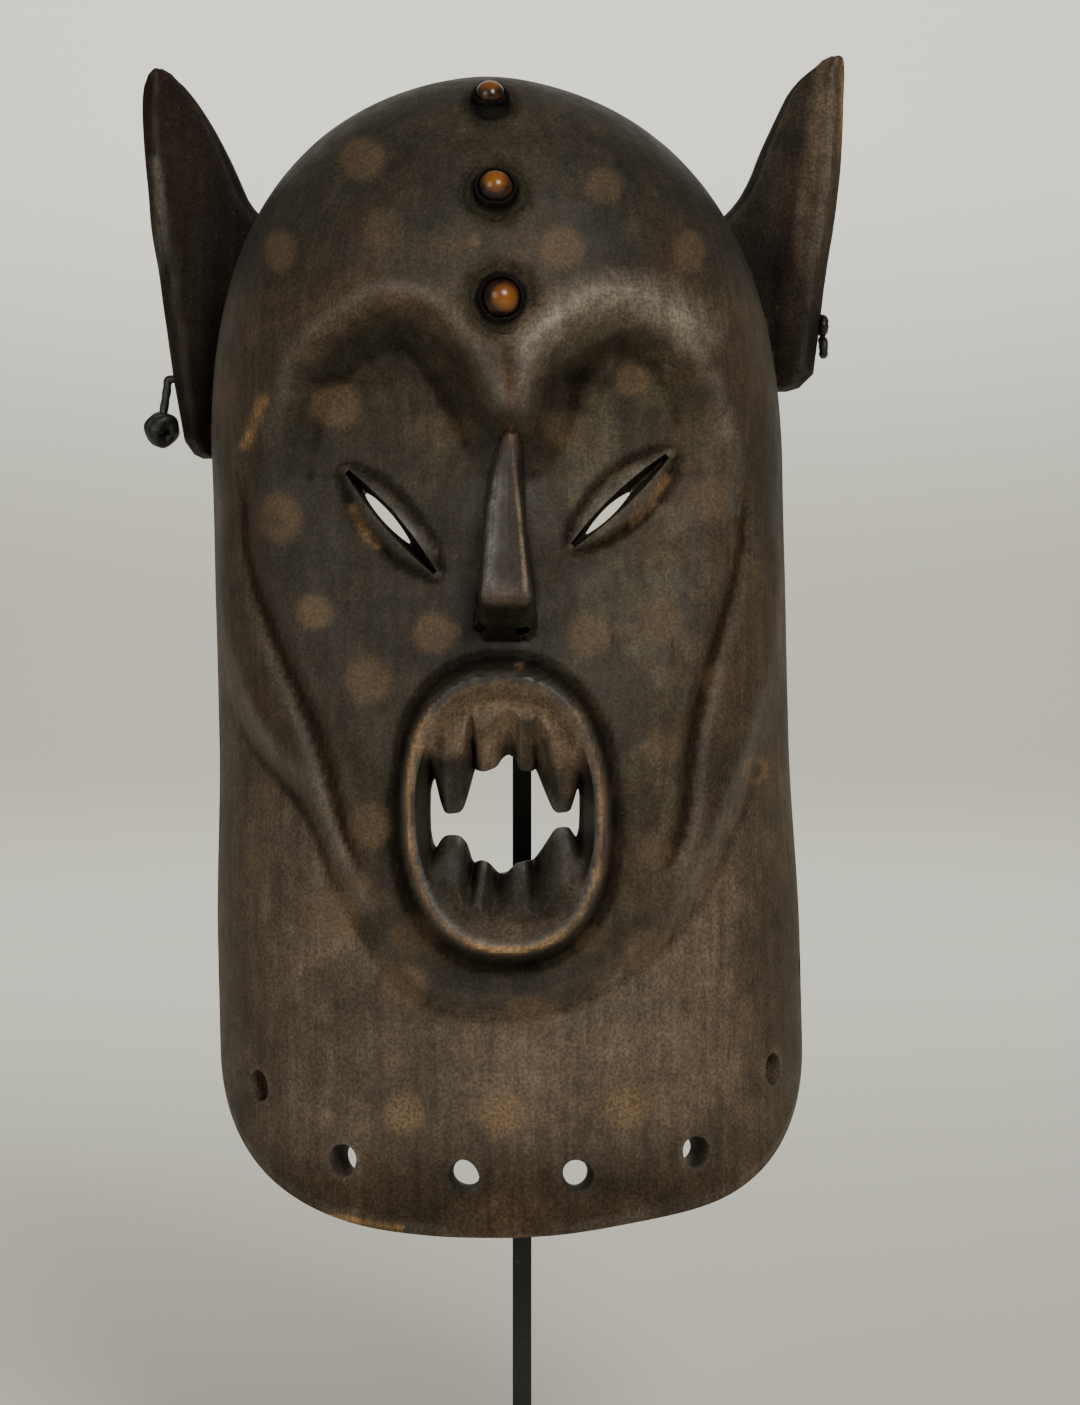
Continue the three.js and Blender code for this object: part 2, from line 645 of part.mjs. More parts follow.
// Turns a form made round the upright axis so that it stands on the forehead at x, h.
function standOnSkin(geometry, x, h) {
  const d = 3;
  const slopeX = (skinDepth(x + d, h) - skinDepth(x - d, h)) / (2 * d);
  const slopeH = (skinDepth(x, h + d) - skinDepth(x, h - d)) / (2 * d);
  const normal = new THREE.Vector3(-slopeX, -slopeH, 1).normalize();
  const turn = new THREE.Quaternion().setFromUnitVectors(new THREE.Vector3(0, 1, 0), normal);
  geometry.applyQuaternion(turn);
  geometry.translate(x, h, skinDepth(x, h));
  return geometry;
}

function seatGeometry([, x, h, seat]) {
  const profile = [
    [0, -5], [seat, -5], [seat, -0.8], [seat * 0.9, SEAT_HEIGHT * 0.5], [seat * 0.78, SEAT_HEIGHT * 0.92],
    [seat * SEAT_TOP, SEAT_HEIGHT], [0, SEAT_HEIGHT],
  ].map(([r, y]) => new THREE.Vector2(r, y));
  return standOnSkin(new THREE.LatheGeometry(profile, 18), x, h);
}

// The bead is a ball set a little over half into its seat; the socket is the same ball with the gap added.
function ballGeometry([, x, h, , bead], grow) {
  const ball = new THREE.SphereGeometry(bead + grow, 12, 8);
  ball.translate(0, SEAT_HEIGHT - bead * BEAD_SUNK, 0);
  return standOnSkin(ball, x, h);
}

function earGeometry(table, side) {
  const tip = table[table.length - 1][0];
  const foot = table[0][0];
  return ringGeometry(table.map(([h, outer, inner]) => {
    const thin = mix(1, EAR_TIP_THIN, smooth(mix(foot, tip, 0.45), tip, h));
    const width = outer - inner;
    const ridge = EAR_THICKNESS * thin;
    const scoop = EAR_SCOOP * thin;
    return [
      [outer, 0], [outer, EAR_EDGE * thin], [outer - Math.min(EAR_BEVEL, width * 0.3), ridge],
      [mix(outer, inner, 0.55), ridge - scoop], [inner + width * 0.08, ridge - scoop * 0.8],
      [inner, EAR_EDGE * thin], [inner, 0],
    ].map(([x, f]) => [side * x, h, f]);
  }));
}

// Outward x of an ear's edge at a height.
function earEdge(table, h) {
  return readTable(table, h, 1);
}

const THONG_DEPTH = EAR_EDGE * 0.65;

function thongHole(table, side, h) {
  return boreGeometry([side * (earEdge(table, h) + 3), h, THONG_DEPTH], [-side, 0, 0], THONG_HOLE_DEPTH + 3,
    THONG_RADIUS + FIT_GAP, 10);
}

// A round cord along points in x, h, f.
function cordGeometry(points) {
  const path = new THREE.CatmullRomCurve3(points.map((p) => new THREE.Vector3(...p)), false, 'centripetal');
  const circle = new THREE.Shape().absarc(0, 0, THONG_RADIUS, 0, Math.PI * 2);
  return new THREE.ExtrudeGeometry(circle, { extrudePath: path, steps: points.length * 2, curveSegments: 4 });
}

// One turn of a knot.
function turnGeometry([x, h, f], tiltX, tiltY, radius, rope) {
  const ring = new THREE.TorusGeometry(radius, rope, 6, 11);
  ring.rotateX(tiltX);
  ring.rotateY(tiltY);
  ring.translate(x, h, f);
  return ring;
}

// The left thong leaves the ear's edge, bends down and ends in a fat knot.
function leftThongSolid() {
  const top = LEFT_THONG_HEIGHT;
  const low = top - LEFT_THONG_DROP;
  const edge = earEdge(LEFT_EAR, top);
  const knot = earEdge(LEFT_EAR, low) + KNOT_ROPE + KNOT_RADIUS + 2 * FIT_GAP;
  const cord = cordGeometry([
    [-(edge - THONG_HOLE_DEPTH + 1), top, THONG_DEPTH], [-(edge - 2), top, THONG_DEPTH],
    [-(edge + 1.8), top, THONG_DEPTH], [-(edge + 2.6), top - 3.5, THONG_DEPTH],
    [-(edge + 3.4), top - 8, THONG_DEPTH], [-knot, low + KNOT_RADIUS, THONG_DEPTH],
  ]);
  return solidOf(cord)
    .add(solidOf(turnGeometry([-knot, low, THONG_DEPTH], 0.2, 0.3, KNOT_RADIUS, KNOT_ROPE)))
    .add(solidOf(turnGeometry([-knot - 0.4, low - 0.6, THONG_DEPTH], 1.2, 0.5, KNOT_RADIUS * 0.85, KNOT_ROPE)));
}

// The right thong leaves the ear's edge and lies against it in two narrow loops.
function rightThongSolid() {
  const top = RIGHT_THONG_HEIGHT;
  const edge = earEdge(RIGHT_EAR, top);
  const apart = 2 * (LOOP_RADIUS + LOOP_ROPE) - 0.4;
  const out = Math.max(edge, earEdge(RIGHT_EAR, top - apart)) + LOOP_ROPE + 2 * FIT_GAP;
  const cord = cordGeometry([
    [edge - THONG_HOLE_DEPTH + 1, top, THONG_DEPTH], [edge - 2, top, THONG_DEPTH],
    [edge + THONG_RADIUS + FIT_GAP, top, THONG_DEPTH], [out + 0.4, top - LOOP_RADIUS * 0.5, THONG_DEPTH],
    [out + 0.3, top - LOOP_RADIUS, THONG_DEPTH],
  ]);
  return solidOf(cord)
    .add(solidOf(turnGeometry([out, top, THONG_DEPTH], 0, Math.PI / 2, LOOP_RADIUS, LOOP_ROPE)))
    .add(solidOf(turnGeometry([out, top - apart, THONG_DEPTH], 0, Math.PI / 2, LOOP_RADIUS, LOOP_ROPE)));
}

function lacingBores() {
  const front = FRONT_HOLES.map(([x, h]) => {
    const slope = (skinDepth(x + 2, h) - skinDepth(x - 2, h)) / 4;
    const normal = new THREE.Vector3(-slope, 0, 1).normalize();
    const start = new THREE.Vector3(x, h, skinDepth(x, h)).addScaledVector(normal, 8);
    return boreGeometry(start.toArray(), normal.negate().toArray(), APRON_DEPTH * 0.6, HOLE_RADIUS, 14);
  });
  const side = SIDE_HOLES.map(([hand, f, h]) => boreGeometry(
    [hand * (halfWidth(h, 0, MASK_HEIGHT) + 6), h, f], [-hand, 0, 0], WALL_SIDE + 14, HOLE_RADIUS, 14,
  ));
  return [...front, ...side];
}

function maskSolid() {
  const joined = [
    noseGeometry(), lipGeometry(), ...EYES.map(lidGeometry), ...BEADS.map(seatGeometry),
    earGeometry(LEFT_EAR, -1), earGeometry(RIGHT_EAR, 1),
  ];
  const cuts = [
    hollowGeometry(), mouthGeometry(), ...EYES.map(slitGeometry),
    ...BEADS.map((bead) => ballGeometry(bead, FIT_GAP * 1.4)), ...nostrilBores(), ...lacingBores(),
    thongHole(LEFT_EAR, -1, LEFT_THONG_HEIGHT), thongHole(RIGHT_EAR, 1, RIGHT_THONG_HEIGHT),
  ];
  let solid = solidOf(outerGeometry());
  for (const form of joined) solid = solid.add(solidOf(form));
  for (const cut of cuts) solid = solid.subtract(solidOf(cut));
  for (const tooth of TEETH) solid = solid.add(solidOf(toothGeometry(tooth)));
  return solid;
}

// A square bar through points in x, h, f, its section upright.
function barGeometry(points) {
  const half = ARM_WIDTH / 2;
  return ringGeometry(points.map(([x, h, f]) => [
    [x, h - half, f - half], [x, h - half, f + half], [x, h + half, f + half], [x, h + half, f - half],
  ]));
}

// How far a bar can move along a direction before it comes to the fitting gap from the hollow's wall.
function freeWay(bar, wall, direction) {
  const ray = new THREE.Raycaster();
  const place = bar.attributes.position;
  let free = Infinity;
  for (let i = 0; i < place.count; i += 1) {
    ray.set(new THREE.Vector3().fromBufferAttribute(place, i), direction);
    const hit = ray.intersectObject(wall)[0];
    if (hit) free = Math.min(free, hit.distance);
  }
  return free - FIT_GAP;
}

// The cradle: an arm under the hollow's ceiling that carries the mask, and an arm behind the apron.
function rodSolid() {
  const wall = new THREE.Mesh(hollowGeometry(), new THREE.MeshStandardMaterial({ side: THREE.DoubleSide }));
  const rodHigh = -MASK_SHIFT + MASK_LEAN * (MASK_HEIGHT - LEAN_PIVOT);
  const rodLow = -MASK_SHIFT + MASK_LEAN * (LOWER_ARM_HEIGHT - LEAN_PIVOT);
  const upperPoints = [];
  const lowerPoints = [];
  for (let i = 0; i <= 10; i += 1) {
    const upperX = mix(-UPPER_ARM_HALF_SPAN, UPPER_ARM_HALF_SPAN, i / 10);
    upperPoints.push([upperX, ceilingHeight(upperX) - ARM_WIDTH - 4, ROD_FORWARD]);
    const lowerX = mix(-LOWER_ARM_HALF_SPAN, LOWER_ARM_HALF_SPAN, i / 10);
    lowerPoints.push([lowerX, LOWER_ARM_HEIGHT, hollowDepth(lowerX, LOWER_ARM_HEIGHT) - ARM_WIDTH - 2]);
  }
  const upper = barGeometry(upperPoints);
  const rise = freeWay(upper, wall, new THREE.Vector3(0, 1, 0));
  upper.translate(0, rise, 0);
  const lower = barGeometry(lowerPoints);
  const push = freeWay(lower, wall, new THREE.Vector3(0, 0, 1));
  lower.translate(0, 0, push);
  const reach = hollowDepth(rodLow, LOWER_ARM_HEIGHT) - ARM_WIDTH - 2 + push - ROD_FORWARD;
  const stub = new THREE.BoxGeometry(ARM_WIDTH, ARM_WIDTH, reach);
  stub.translate(rodLow, LOWER_ARM_HEIGHT, ROD_FORWARD + reach / 2);
  for (const part of [upper, lower, stub]) part.applyMatrix4(toStand);
  const foot = SOCKET_FLOOR + FIT_GAP;
  const top = MASK_BOTTOM + ceilingHeight(rodHigh) - ARM_WIDTH - 4 + rise;
  const rod = new THREE.BoxGeometry(ROD_WIDTH, ROD_WIDTH, top - foot);
  rod.translate(0, 0, (top + foot) / 2);
  return solidOf(rod).add(solidOf(upper)).add(solidOf(stub)).add(solidOf(lower));
}

function baseSolid() {
  const layer = (inset, z) => [[-1, -1], [1, -1], [1, 1], [-1, 1]]
    .map(([sx, sy]) => [sx * (BASE_WIDTH / 2 - inset), sy * (BASE_DEPTH / 2 - inset), z]);
  const plate = ringGeometry([
    layer(BASE_BEVEL, 0), layer(0, BASE_BEVEL), layer(0, BASE_THICKNESS - BASE_BEVEL),
    layer(BASE_BEVEL, BASE_THICKNESS),
  ]);
  const height = BASE_THICKNESS + COLLAR_HEIGHT;
  const collar = new THREE.BoxGeometry(COLLAR_WIDTH, COLLAR_WIDTH, height - BASE_BEVEL);
  collar.translate(0, 0, (height + BASE_BEVEL) / 2);
  const wide = ROD_WIDTH + 2 * FIT_GAP;
  const socket = new THREE.BoxGeometry(wide, wide, height);
  socket.translate(0, 0, SOCKET_FLOOR + height / 2);
  return solidOf(plate).add(solidOf(collar)).subtract(solidOf(socket));
}

function geometryOf(solid) {
  const data = solid.getMesh();
  const geometry = new THREE.BufferGeometry();
  geometry.setAttribute('position', new THREE.BufferAttribute(new Float32Array(data.vertProperties), 3));
  geometry.setIndex(new THREE.BufferAttribute(new Uint32Array(data.triVerts), 1));
  return geometry;
}

const wood = new THREE.MeshStandardMaterial({ color: new THREE.Color(0.075, 0.05, 0.035), roughness: 0.6 });
const amber = new THREE.MeshStandardMaterial({ color: new THREE.Color(0.3, 0.11, 0.02), roughness: 0.12 });
const leather = new THREE.MeshStandardMaterial({ color: new THREE.Color(0.012, 0.01, 0.009), roughness: 0.35 });
const steel = new THREE.MeshStandardMaterial({
  color: new THREE.Color(0.01, 0.01, 0.011), roughness: 0.45, metalness: 0.6,
});

const group = new THREE.Group();

function addPiece(name, geometry, material) {
  geometry.computeVertexNormals();
  const mesh = new THREE.Mesh(geometry, material);
  mesh.name = name;
  group.add(mesh);
}

addPiece('mask', geometryOf(maskSolid()).applyMatrix4(toStand), wood);
for (const bead of BEADS) addPiece(bead[0], ballGeometry(bead, 0).applyMatrix4(toStand), amber);
addPiece('left_ear_thong', geometryOf(leftThongSolid()).applyMatrix4(toStand), leather);
addPiece('right_ear_thong', geometryOf(rightThongSolid()).applyMatrix4(toStand), leather);
addPiece('stand_rod', geometryOf(rodSolid()), steel);
addPiece('stand_base', geometryOf(baseSolid()), steel);

export default group;
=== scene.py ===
"""Carved African mask on a steel stand.

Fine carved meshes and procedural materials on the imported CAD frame.
"""
import math

import bpy
import numpy as np
from mathutils import Euler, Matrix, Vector


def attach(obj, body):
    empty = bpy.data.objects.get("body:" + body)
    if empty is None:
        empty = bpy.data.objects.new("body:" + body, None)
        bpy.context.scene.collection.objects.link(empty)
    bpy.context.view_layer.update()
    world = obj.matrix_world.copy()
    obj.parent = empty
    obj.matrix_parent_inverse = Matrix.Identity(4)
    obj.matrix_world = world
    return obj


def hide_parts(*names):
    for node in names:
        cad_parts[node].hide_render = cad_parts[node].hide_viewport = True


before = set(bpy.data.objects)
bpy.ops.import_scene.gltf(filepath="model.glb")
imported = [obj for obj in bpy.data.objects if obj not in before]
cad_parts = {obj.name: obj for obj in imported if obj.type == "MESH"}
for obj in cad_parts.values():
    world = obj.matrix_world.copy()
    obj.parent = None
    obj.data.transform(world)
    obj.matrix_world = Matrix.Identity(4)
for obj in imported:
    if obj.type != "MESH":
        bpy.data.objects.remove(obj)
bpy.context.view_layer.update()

# Placing of the mask on the stand, in mm, the same values as in the CAD
MASK_BOTTOM = 110.0
ROD_FORWARD = 35.0
MASK_SHIFT = -7.0
MASK_LEAN = 0.024
LEAN_PIVOT = 188.0
FIT_GAP = 0.3

# Overall form of the mask
MASK_HEIGHT = 381.0
HALF_WIDTH = 98.5
APRON_FLARE = 2.2
FLARE_LOW = 90.0
FLARE_HIGH = 160.0
APRON_DEPTH = 95.0
SIDE_DEPTH = 10.0
ROUND_POWER = 2.2
DOME_START = MASK_HEIGHT - 141
DOME_POWER = 2.75
CROWN_START = MASK_HEIGHT - 86
CROWN_POWER = 2.3
CROWN_REACH = 45.0
REAR_DROP = 6.0
RIM_RISE = 74.0
RIM_RISE_POWER = 1.35
RIM_BLEND = 112.0
RIM_WEAR = 3.0
RIM_WEAR_X = 45.0
RIM_WEAR_SPREAD = 28.0
LAST_ROW_GAP = 0.003
WALL_SIDE = 10.0
WALL_TOP = 14.0
WALL_APRON = 12.0
HOLLOW_FACE_DEPTH = 74.0

# Head standing proud of the apron, and the sunken face in it
CHIN_RISE = 3.2
CHEEK_RISE = 13.0
BROW_RISE = 23.0
BROW_HEIGHT = 305.0
JAW_STEP = 9.0
JAW_RIDGE = 0.4
JAW_RIDGE_HALF = 5.5
GROOVE_DEPTH = 3.5
GROOVE_HALF = 3.5
BROW_CREST = 2.0
BROW_CREST_HALF = 6.0
BROW_RAMP = 19.0
CHEEK_RAMP = 26.0
JAW_CORNERS = [
    (-96, 262), (-92, 205), (-80, 167), (-58, 140), (-45, 110), (-28, 85), (-3, 78),
    (30, 87), (55, 108), (71, 137), (85, 171), (93, 205), (97, 262),
]
FACE_CORNERS = [
    (6, 266), (-4, 284), (-16, 298), (-31, 303), (-48, 298), (-66, 284), (-73, 268), (-81, 246),
    (-82, 220), (-72, 191), (-59, 160), (-50, 126), (-38, 102), (-18, 87), (-2, 84),
    (22, 89), (44, 106), (57, 130), (62, 163), (71, 194), (79, 222), (80, 252), (74, 274),
    (64, 293), (45, 302), (28, 298), (13, 284),
]
FACE_PROFILE = [
    (80, 96), (105, 99), (130, 102.5), (150, 103), (185, 99), (215, 95.5), (245, 95.5), (275, 100),
    (300, 109),
]
FACE_CURVE = 0.0022
SOCKET_X = 41.0
SOCKET_HEIGHT = 262.0
SOCKET_SPREAD = 24.0
SOCKET_DEPTH = 5.5

# Nose: height, middle, reach above the face, half-width on top and at the foot
NOSE_STATIONS = [
    (286, 7.4, 9, 2.6, 6), (270, 7, 9.5, 2.3, 4.4), (258, 5.6, 10.5, 2.5, 4.4), (246, 3.6, 12.6, 3.8, 5.4),
    (232, 2.8, 15.8, 5.4, 6.8), (219, 2.7, 19.4, 6.5, 7.8), (209, 2.8, 22.6, 7.5, 8.8),
    (205.5, 2.8, 23.2, 8, 9.2),
    (203.5, 2.7, 22.7, 7.6, 9.3), (202, 2.6, 21, 7, 9.5), (200, 2.6, 16.4, 6.4, 10),
    (196, 2.5, 8.4, 5.8, 10.4),
    (192, 2.4, 1, 5, 9),
]
NOSTRIL_X = 0.8
NOSTRIL_SPREAD = 6.9
NOSTRIL_RADIUS = 2.4

# Mouth and teeth
MOUTH_X = 0.8
MOUTH_HEIGHT = 137.0
LIP_HALF_WIDTH = 31.8
LIP_HALF_HEIGHT = 44.2
LIP_BAND_WIDTH = 3.4
LIP_BAND_HEIGHT = 6.8
LIP_PROUD = 12.0
LIP_SPREAD = 4.6
OVAL_POWER = 2.35
OPENING_HALF_WIDTH = 24.4
OPENING_HALF_HEIGHT = 19.4
OPENING_HEIGHT = 136.6
OPENING_POWER = 2.8
# Edge of the opening round the teeth: x, height, angle of the lip that it hangs from, depth behind the lips
TOOTH_OUTLINE = [
    (24.5, 137, 0, 15), (24.6, 143.4, 14, 16), (24.1, 144.6, 22, 17), (22.8, 140.8, 32, 12),
    (21.5, 137.2, 42, 10),
    (16.4, 136.7, 54, 10), (13.4, 144, 63, 12), (10.8, 151, 71, 17), (9.8, 150, 74, 13),
    (5.7, 150.4, 81, 12),
    (4.7, 153.9, 84, 15), (2.2, 155.5, 88, 16), (0.3, 154.2, 91.5, 14), (-1.5, 151.4, 95, 11),
    (-5.5, 149.9, 101, 10), (-7.9, 150.4, 105, 12), (-8.6, 150.8, 107.5, 18), (-10.7, 143, 113, 11),
    (-12.9, 137, 121, 10), (-18.3, 136.4, 133, 10), (-19.9, 140.8, 143, 12), (-21.6, 148.4, 152, 17),
    (-22.9, 145.6, 160, 16), (-23.2, 137, 180, 15), (-23.2, 131.3, 188, 15), (-22.9, 123.5, 203, 17),
    (-19, 129.7, 218, 11), (-13.8, 129.8, 232, 10), (-11.5, 127.1, 238, 11), (-9.9, 120.4, 245, 18),
    (-7.4, 121.9, 250, 11), (-4.8, 121.1, 255, 11), (-1.8, 117.2, 262, 18), (0.3, 117.2, 267, 15),
    (2.6, 119.5, 272, 12), (4.2, 120.8, 275, 12), (7.1, 121.4, 281, 12), (9.6, 121.6, 286, 18),
    (13.2, 126.8, 295, 12), (16.7, 132.2, 304, 10), (20.9, 132.4, 316, 10), (22.1, 130.6, 326, 12),
    (23.3, 128.6, 335, 17), (24.2, 131.9, 345, 16), (24.5, 137, 360, 15),
]
TOOTH_THICKNESS = 3.5
GUM_CURVE = 0.8

# Eyes, bead seats, lacing holes
EYES = [
    {"lids": ((-49, 248), (-19, 212.5)), "slit": ((-42.8, 240.6), (-28, 223.4)),
     "width": 15, "slit_width": 3.4},
    {"lids": ((57.2, 253), (23.4, 221.4)), "slit": ((44, 241), (29, 226.4)),
     "width": 16, "slit_width": 3.0},
]
LID_HEIGHT = 6.0
LID_MOUTH = 2.1
BEADS = [
    ("bead_low", 3.6, MASK_HEIGHT - 82.5, 10.9, 6.1), ("bead_middle", 2.6, MASK_HEIGHT - 48, 9.8, 5.5),
    ("bead_top", 1.4, MASK_HEIGHT - 16.4, 8, 4.8),
]
# Side of each bead's painted glow: across and up, leaning off straight forward
GLOW_LEAN = [(0.25, -0.1), (0.0, 0.4), (0.0, 1.6)]
SEAT_HEIGHT = 3.4
BEAD_SUNK = 0.1
FRONT_HOLES = [(-83.5, 45), (-54.6, 23.6), (-15.5, 20), (21.5, 20), (60.2, 26), (87.6, 50)]
SIDE_HOLES = [(-1, 24, 159), (-1, 24, 117), (-1, 24, 80), (1, 24, 81)]
HOLE_RADIUS = 4.4

# Ears: height, outer and inner edge
LEFT_EAR = [
    (257.5, 103.5, 84), (260.5, 109.2, 84), (284, 112.6, 84), (305, 115, 83), (326, 117.9, 76),
    (338, 119.4, 76), (345, 120, 84),
    (354, 120.5, 87.6), (364, 121.3, 91.9), (376, 121.8, 98.2), (385, 121.7, 104.2), (391, 120.4, 109.6),
    (393.6, 118, 113.6),
]
RIGHT_EAR = [
    (281, 102, 85), (284, 110.8, 84.6), (296, 112.4, 84), (310, 114.6, 82), (327, 117.4, 76),
    (338, 119.6, 76), (345, 120.9, 84.6),
    (354, 122, 90), (365, 123.1, 94.4), (376, 123.9, 99.8), (387, 124.4, 105.4), (394, 125, 113),
    (398, 124.4, 119.6),
]
EAR_THICKNESS = 12.0
EAR_EDGE = 4.0
EAR_BEVEL = 4.2
EAR_SCOOP = 3.2
EAR_TIP_THIN = 0.5

# Thongs
THONG_RADIUS = 1.5
THONG_HOLE_DEPTH = 6.0
THONG_DEPTH = EAR_EDGE * 0.65
LEFT_THONG_HEIGHT = 285.0
LEFT_THONG_DROP = 17.6
RIGHT_THONG_HEIGHT = 304.0
KNOT_RADIUS = 3.9
KNOT_ROPE = 2.5
LOOP_RADIUS = 2.5
LOOP_ROPE = 1.5

# Viewpoint of the photograph: distance from the rim plane, place and scale, in mm and photo pixels
EYE_DISTANCE = 1100.0
EYE_X = 6.1
EYE_Z = 282.0
PHOTO_WIDTH = 1080
PHOTO_MIDDLE = (540, 702)
PIXELS_PER_SLOPE = 3133.0


def smooth(low, high, value):
    t = np.clip((value - low) / (high - low), 0, 1)
    return t * t * (3 - 2 * t)


def mix(a, b, t):
    return a + (b - a) * t


def table_at(table, at, column):
    rows = sorted(table)
    return np.interp(at, [r[0] for r in rows], [r[column] for r in rows])


def noise(points, size, seed):
    """Smooth random values from -1 to 1 at points in mm; size is the width of one swell."""
    cells = np.random.default_rng(seed).random((32, 32, 32)) * 2 - 1
    at = np.asarray(points, dtype=float) / np.asarray(size, dtype=float) + 500.0
    low = np.floor(at).astype(int)
    t = at - low
    t = t * t * (3 - 2 * t)
    total = 0.0
    for corner in range(8):
        step = np.array([corner & 1, (corner >> 1) & 1, corner >> 2])
        index = (low + step) % 32
        weight = np.prod(np.where(step, t, 1 - t), axis=-1)
        total = total + weight * cells[index[..., 0], index[..., 1], index[..., 2]]
    return total


def closed_line(corners, steps):
    """A closed smooth line through the corners."""
    p = np.array(corners, dtype=float)
    t = (np.arange(steps) / steps)[:, None, None]
    p0, p1, p2, p3 = (np.roll(p, 1 - k, axis=0)[None] for k in range(4))
    line = 0.5 * (2 * p1 + (p2 - p0) * t + (2 * p0 - 5 * p1 + 4 * p2 - p3) * t ** 2
                  + (3 * p1 - p0 - 3 * p2 + p3) * t ** 3)
    return line.transpose(1, 0, 2).reshape(-1, 2)


def inside_distance(line, x, h):
    """Distance from a closed line, positive inside it."""
    shape = x.shape
    x, h = x.ravel(), h.ravel()
    best = np.full(x.shape, 1e9)
    inside = np.zeros(x.shape, dtype=bool)
    for (ax, ah), (bx, bh) in zip(line, np.roll(line, -1, axis=0)):
        dx, dh = bx - ax, bh - ah
        t = np.clip(((x - ax) * dx + (h - ah) * dh) / (dx * dx + dh * dh), 0, 1)
        best = np.minimum(best, np.hypot(x - ax - dx * t, h - ah - dh * t))
        if ah != bh:
            crosses = ((ah > h) != (bh > h)) & (x < ax + (h - ah) / dh * dx)
            inside ^= crosses
    return np.where(inside, best, -best).reshape(shape)


HEAD_TOP = MASK_HEIGHT + 60
HEAD_SIDE = HALF_WIDTH + 60
JAW_LINE = closed_line(
    JAW_CORNERS + [(HEAD_SIDE, HEAD_TOP - 60), (HEAD_SIDE, HEAD_TOP), (-HEAD_SIDE, HEAD_TOP),
                   (-HEAD_SIDE, HEAD_TOP - 60)], 6)
FACE_LINE = closed_line(FACE_CORNERS, 5)


def half_width(h, shrink, top):
    t = np.maximum(0, (h - DOME_START) / (top - DOME_START))
    side = HALF_WIDTH + APRON_FLARE * (1 - smooth(FLARE_LOW, FLARE_HIGH, h)) - shrink
    return side * np.maximum(0, 1 - t ** DOME_POWER) ** (1 / ROUND_POWER)


def crown_share(h, top):
    t = np.maximum(0, (h - CROWN_START) / (top - CROWN_START))
    return np.maximum(0, 1 - t ** CROWN_POWER) ** (1 / ROUND_POWER)


def round_share(x, width):
    across = np.minimum(1, np.abs(x) / np.maximum(width, 0.001))
    return np.maximum(0, 1 - across ** ROUND_POWER) ** (1 / ROUND_POWER)


def rim_fade(share):
    return 1 - (1 - share) ** 2


def head_rise(h):
    low = mix(CHIN_RISE, CHEEK_RISE, smooth(80, 200, h))
    return mix(low, BROW_RISE, smooth(200, BROW_HEIGHT, h)) * crown_share(h, MASK_HEIGHT)


def face_depth(x, h):
    across = (np.abs(x) - SOCKET_X) / SOCKET_SPREAD
    up = (h - SOCKET_HEIGHT) / SOCKET_SPREAD
    socket = SOCKET_DEPTH * np.exp(-across * across - up * up)
    return table_at(FACE_PROFILE, h, 1) - FACE_CURVE * x * x - socket


def skin_depth(x, h):
    """Forward reach of the mask's outside, without the nose, lips and lids."""
    width = half_width(h, 0, MASK_HEIGHT)
    share = round_share(x, width)
    reach = mix(CROWN_REACH, APRON_DEPTH, crown_share(h, MASK_HEIGHT))
    base = SIDE_DEPTH + (reach - SIDE_DEPTH) * share
    jaw = inside_distance(JAW_LINE, x, h)
    ridge = JAW_RIDGE * np.exp(-((jaw / JAW_RIDGE_HALF) ** 2)) * (1 - smooth(225, 255, h))
    outside = base + (smooth(-JAW_STEP, 0, jaw) * head_rise(h) + ridge) * rim_fade(share)
    face = inside_distance(FACE_LINE, x, h)
    upper = smooth(232, 262, h)
    groove = GROOVE_DEPTH * np.exp(-((face / GROOVE_HALF) ** 2)) * (1 - upper) * smooth(110, 130, h)
    crest = BROW_CREST * np.exp(-((face / BROW_CREST_HALF) ** 2)) * upper
    inside = smooth(0, mix(CHEEK_RAMP, BROW_RAMP, upper), face)
    sunken = np.minimum(outside, face_depth(x, h))
    return mix(outside, sunken, inside) + (crest - groove) * rim_fade(share)


def smooth_max(a, b, soft):
    d = np.clip(0.5 + 0.5 * (a - b) / soft, 0, 1)
    return mix(b, a, d) + soft * d * (1 - d)


def oval_offset(x, h):
    """Distance outside the lips' oval, measured from its middle."""
    u, v = x - MOUTH_X, h - MOUTH_HEIGHT
    across, up = np.abs(u) / LIP_HALF_WIDTH, np.abs(v) / LIP_HALF_HEIGHT
    r = (across ** OVAL_POWER + up ** OVAL_POWER) ** (1 / OVAL_POWER)
    return np.hypot(u, v) * (1 - 1 / np.maximum(r, 0.05))


def lip_crest(x):
    return face_depth(0 * x, MOUTH_HEIGHT + 0 * x) + LIP_PROUD - FACE_CURVE * x * x * 2


def lip_depth(x, h):
    away = oval_offset(x, h)
    reach = [-9, -5.5, -3.2, -1.2, 0.2, 0.16 * LIP_SPREAD, 0.38 * LIP_SPREAD, 0.7 * LIP_SPREAD, LIP_SPREAD,
             1.3 * LIP_SPREAD]
    back = np.interp(away, reach, [5, 2.4, 0.6, 0, 0.9, 2.9, 6.4, 10.6, 14.6, 24])
    return lip_crest(x) - back - 3 * np.maximum(0, away - reach[-1])


def along_line(x, h, a, b):
    """Share along the line from a to b, and the distance to its left."""
    ax, ah = a
    dx, dh = b[0] - ax, b[1] - ah
    length = math.hypot(dx, dh)
    return ((x - ax) * dx + (h - ah) * dh) / length ** 2, ((h - ah) * dx - (x - ax) * dh) / length


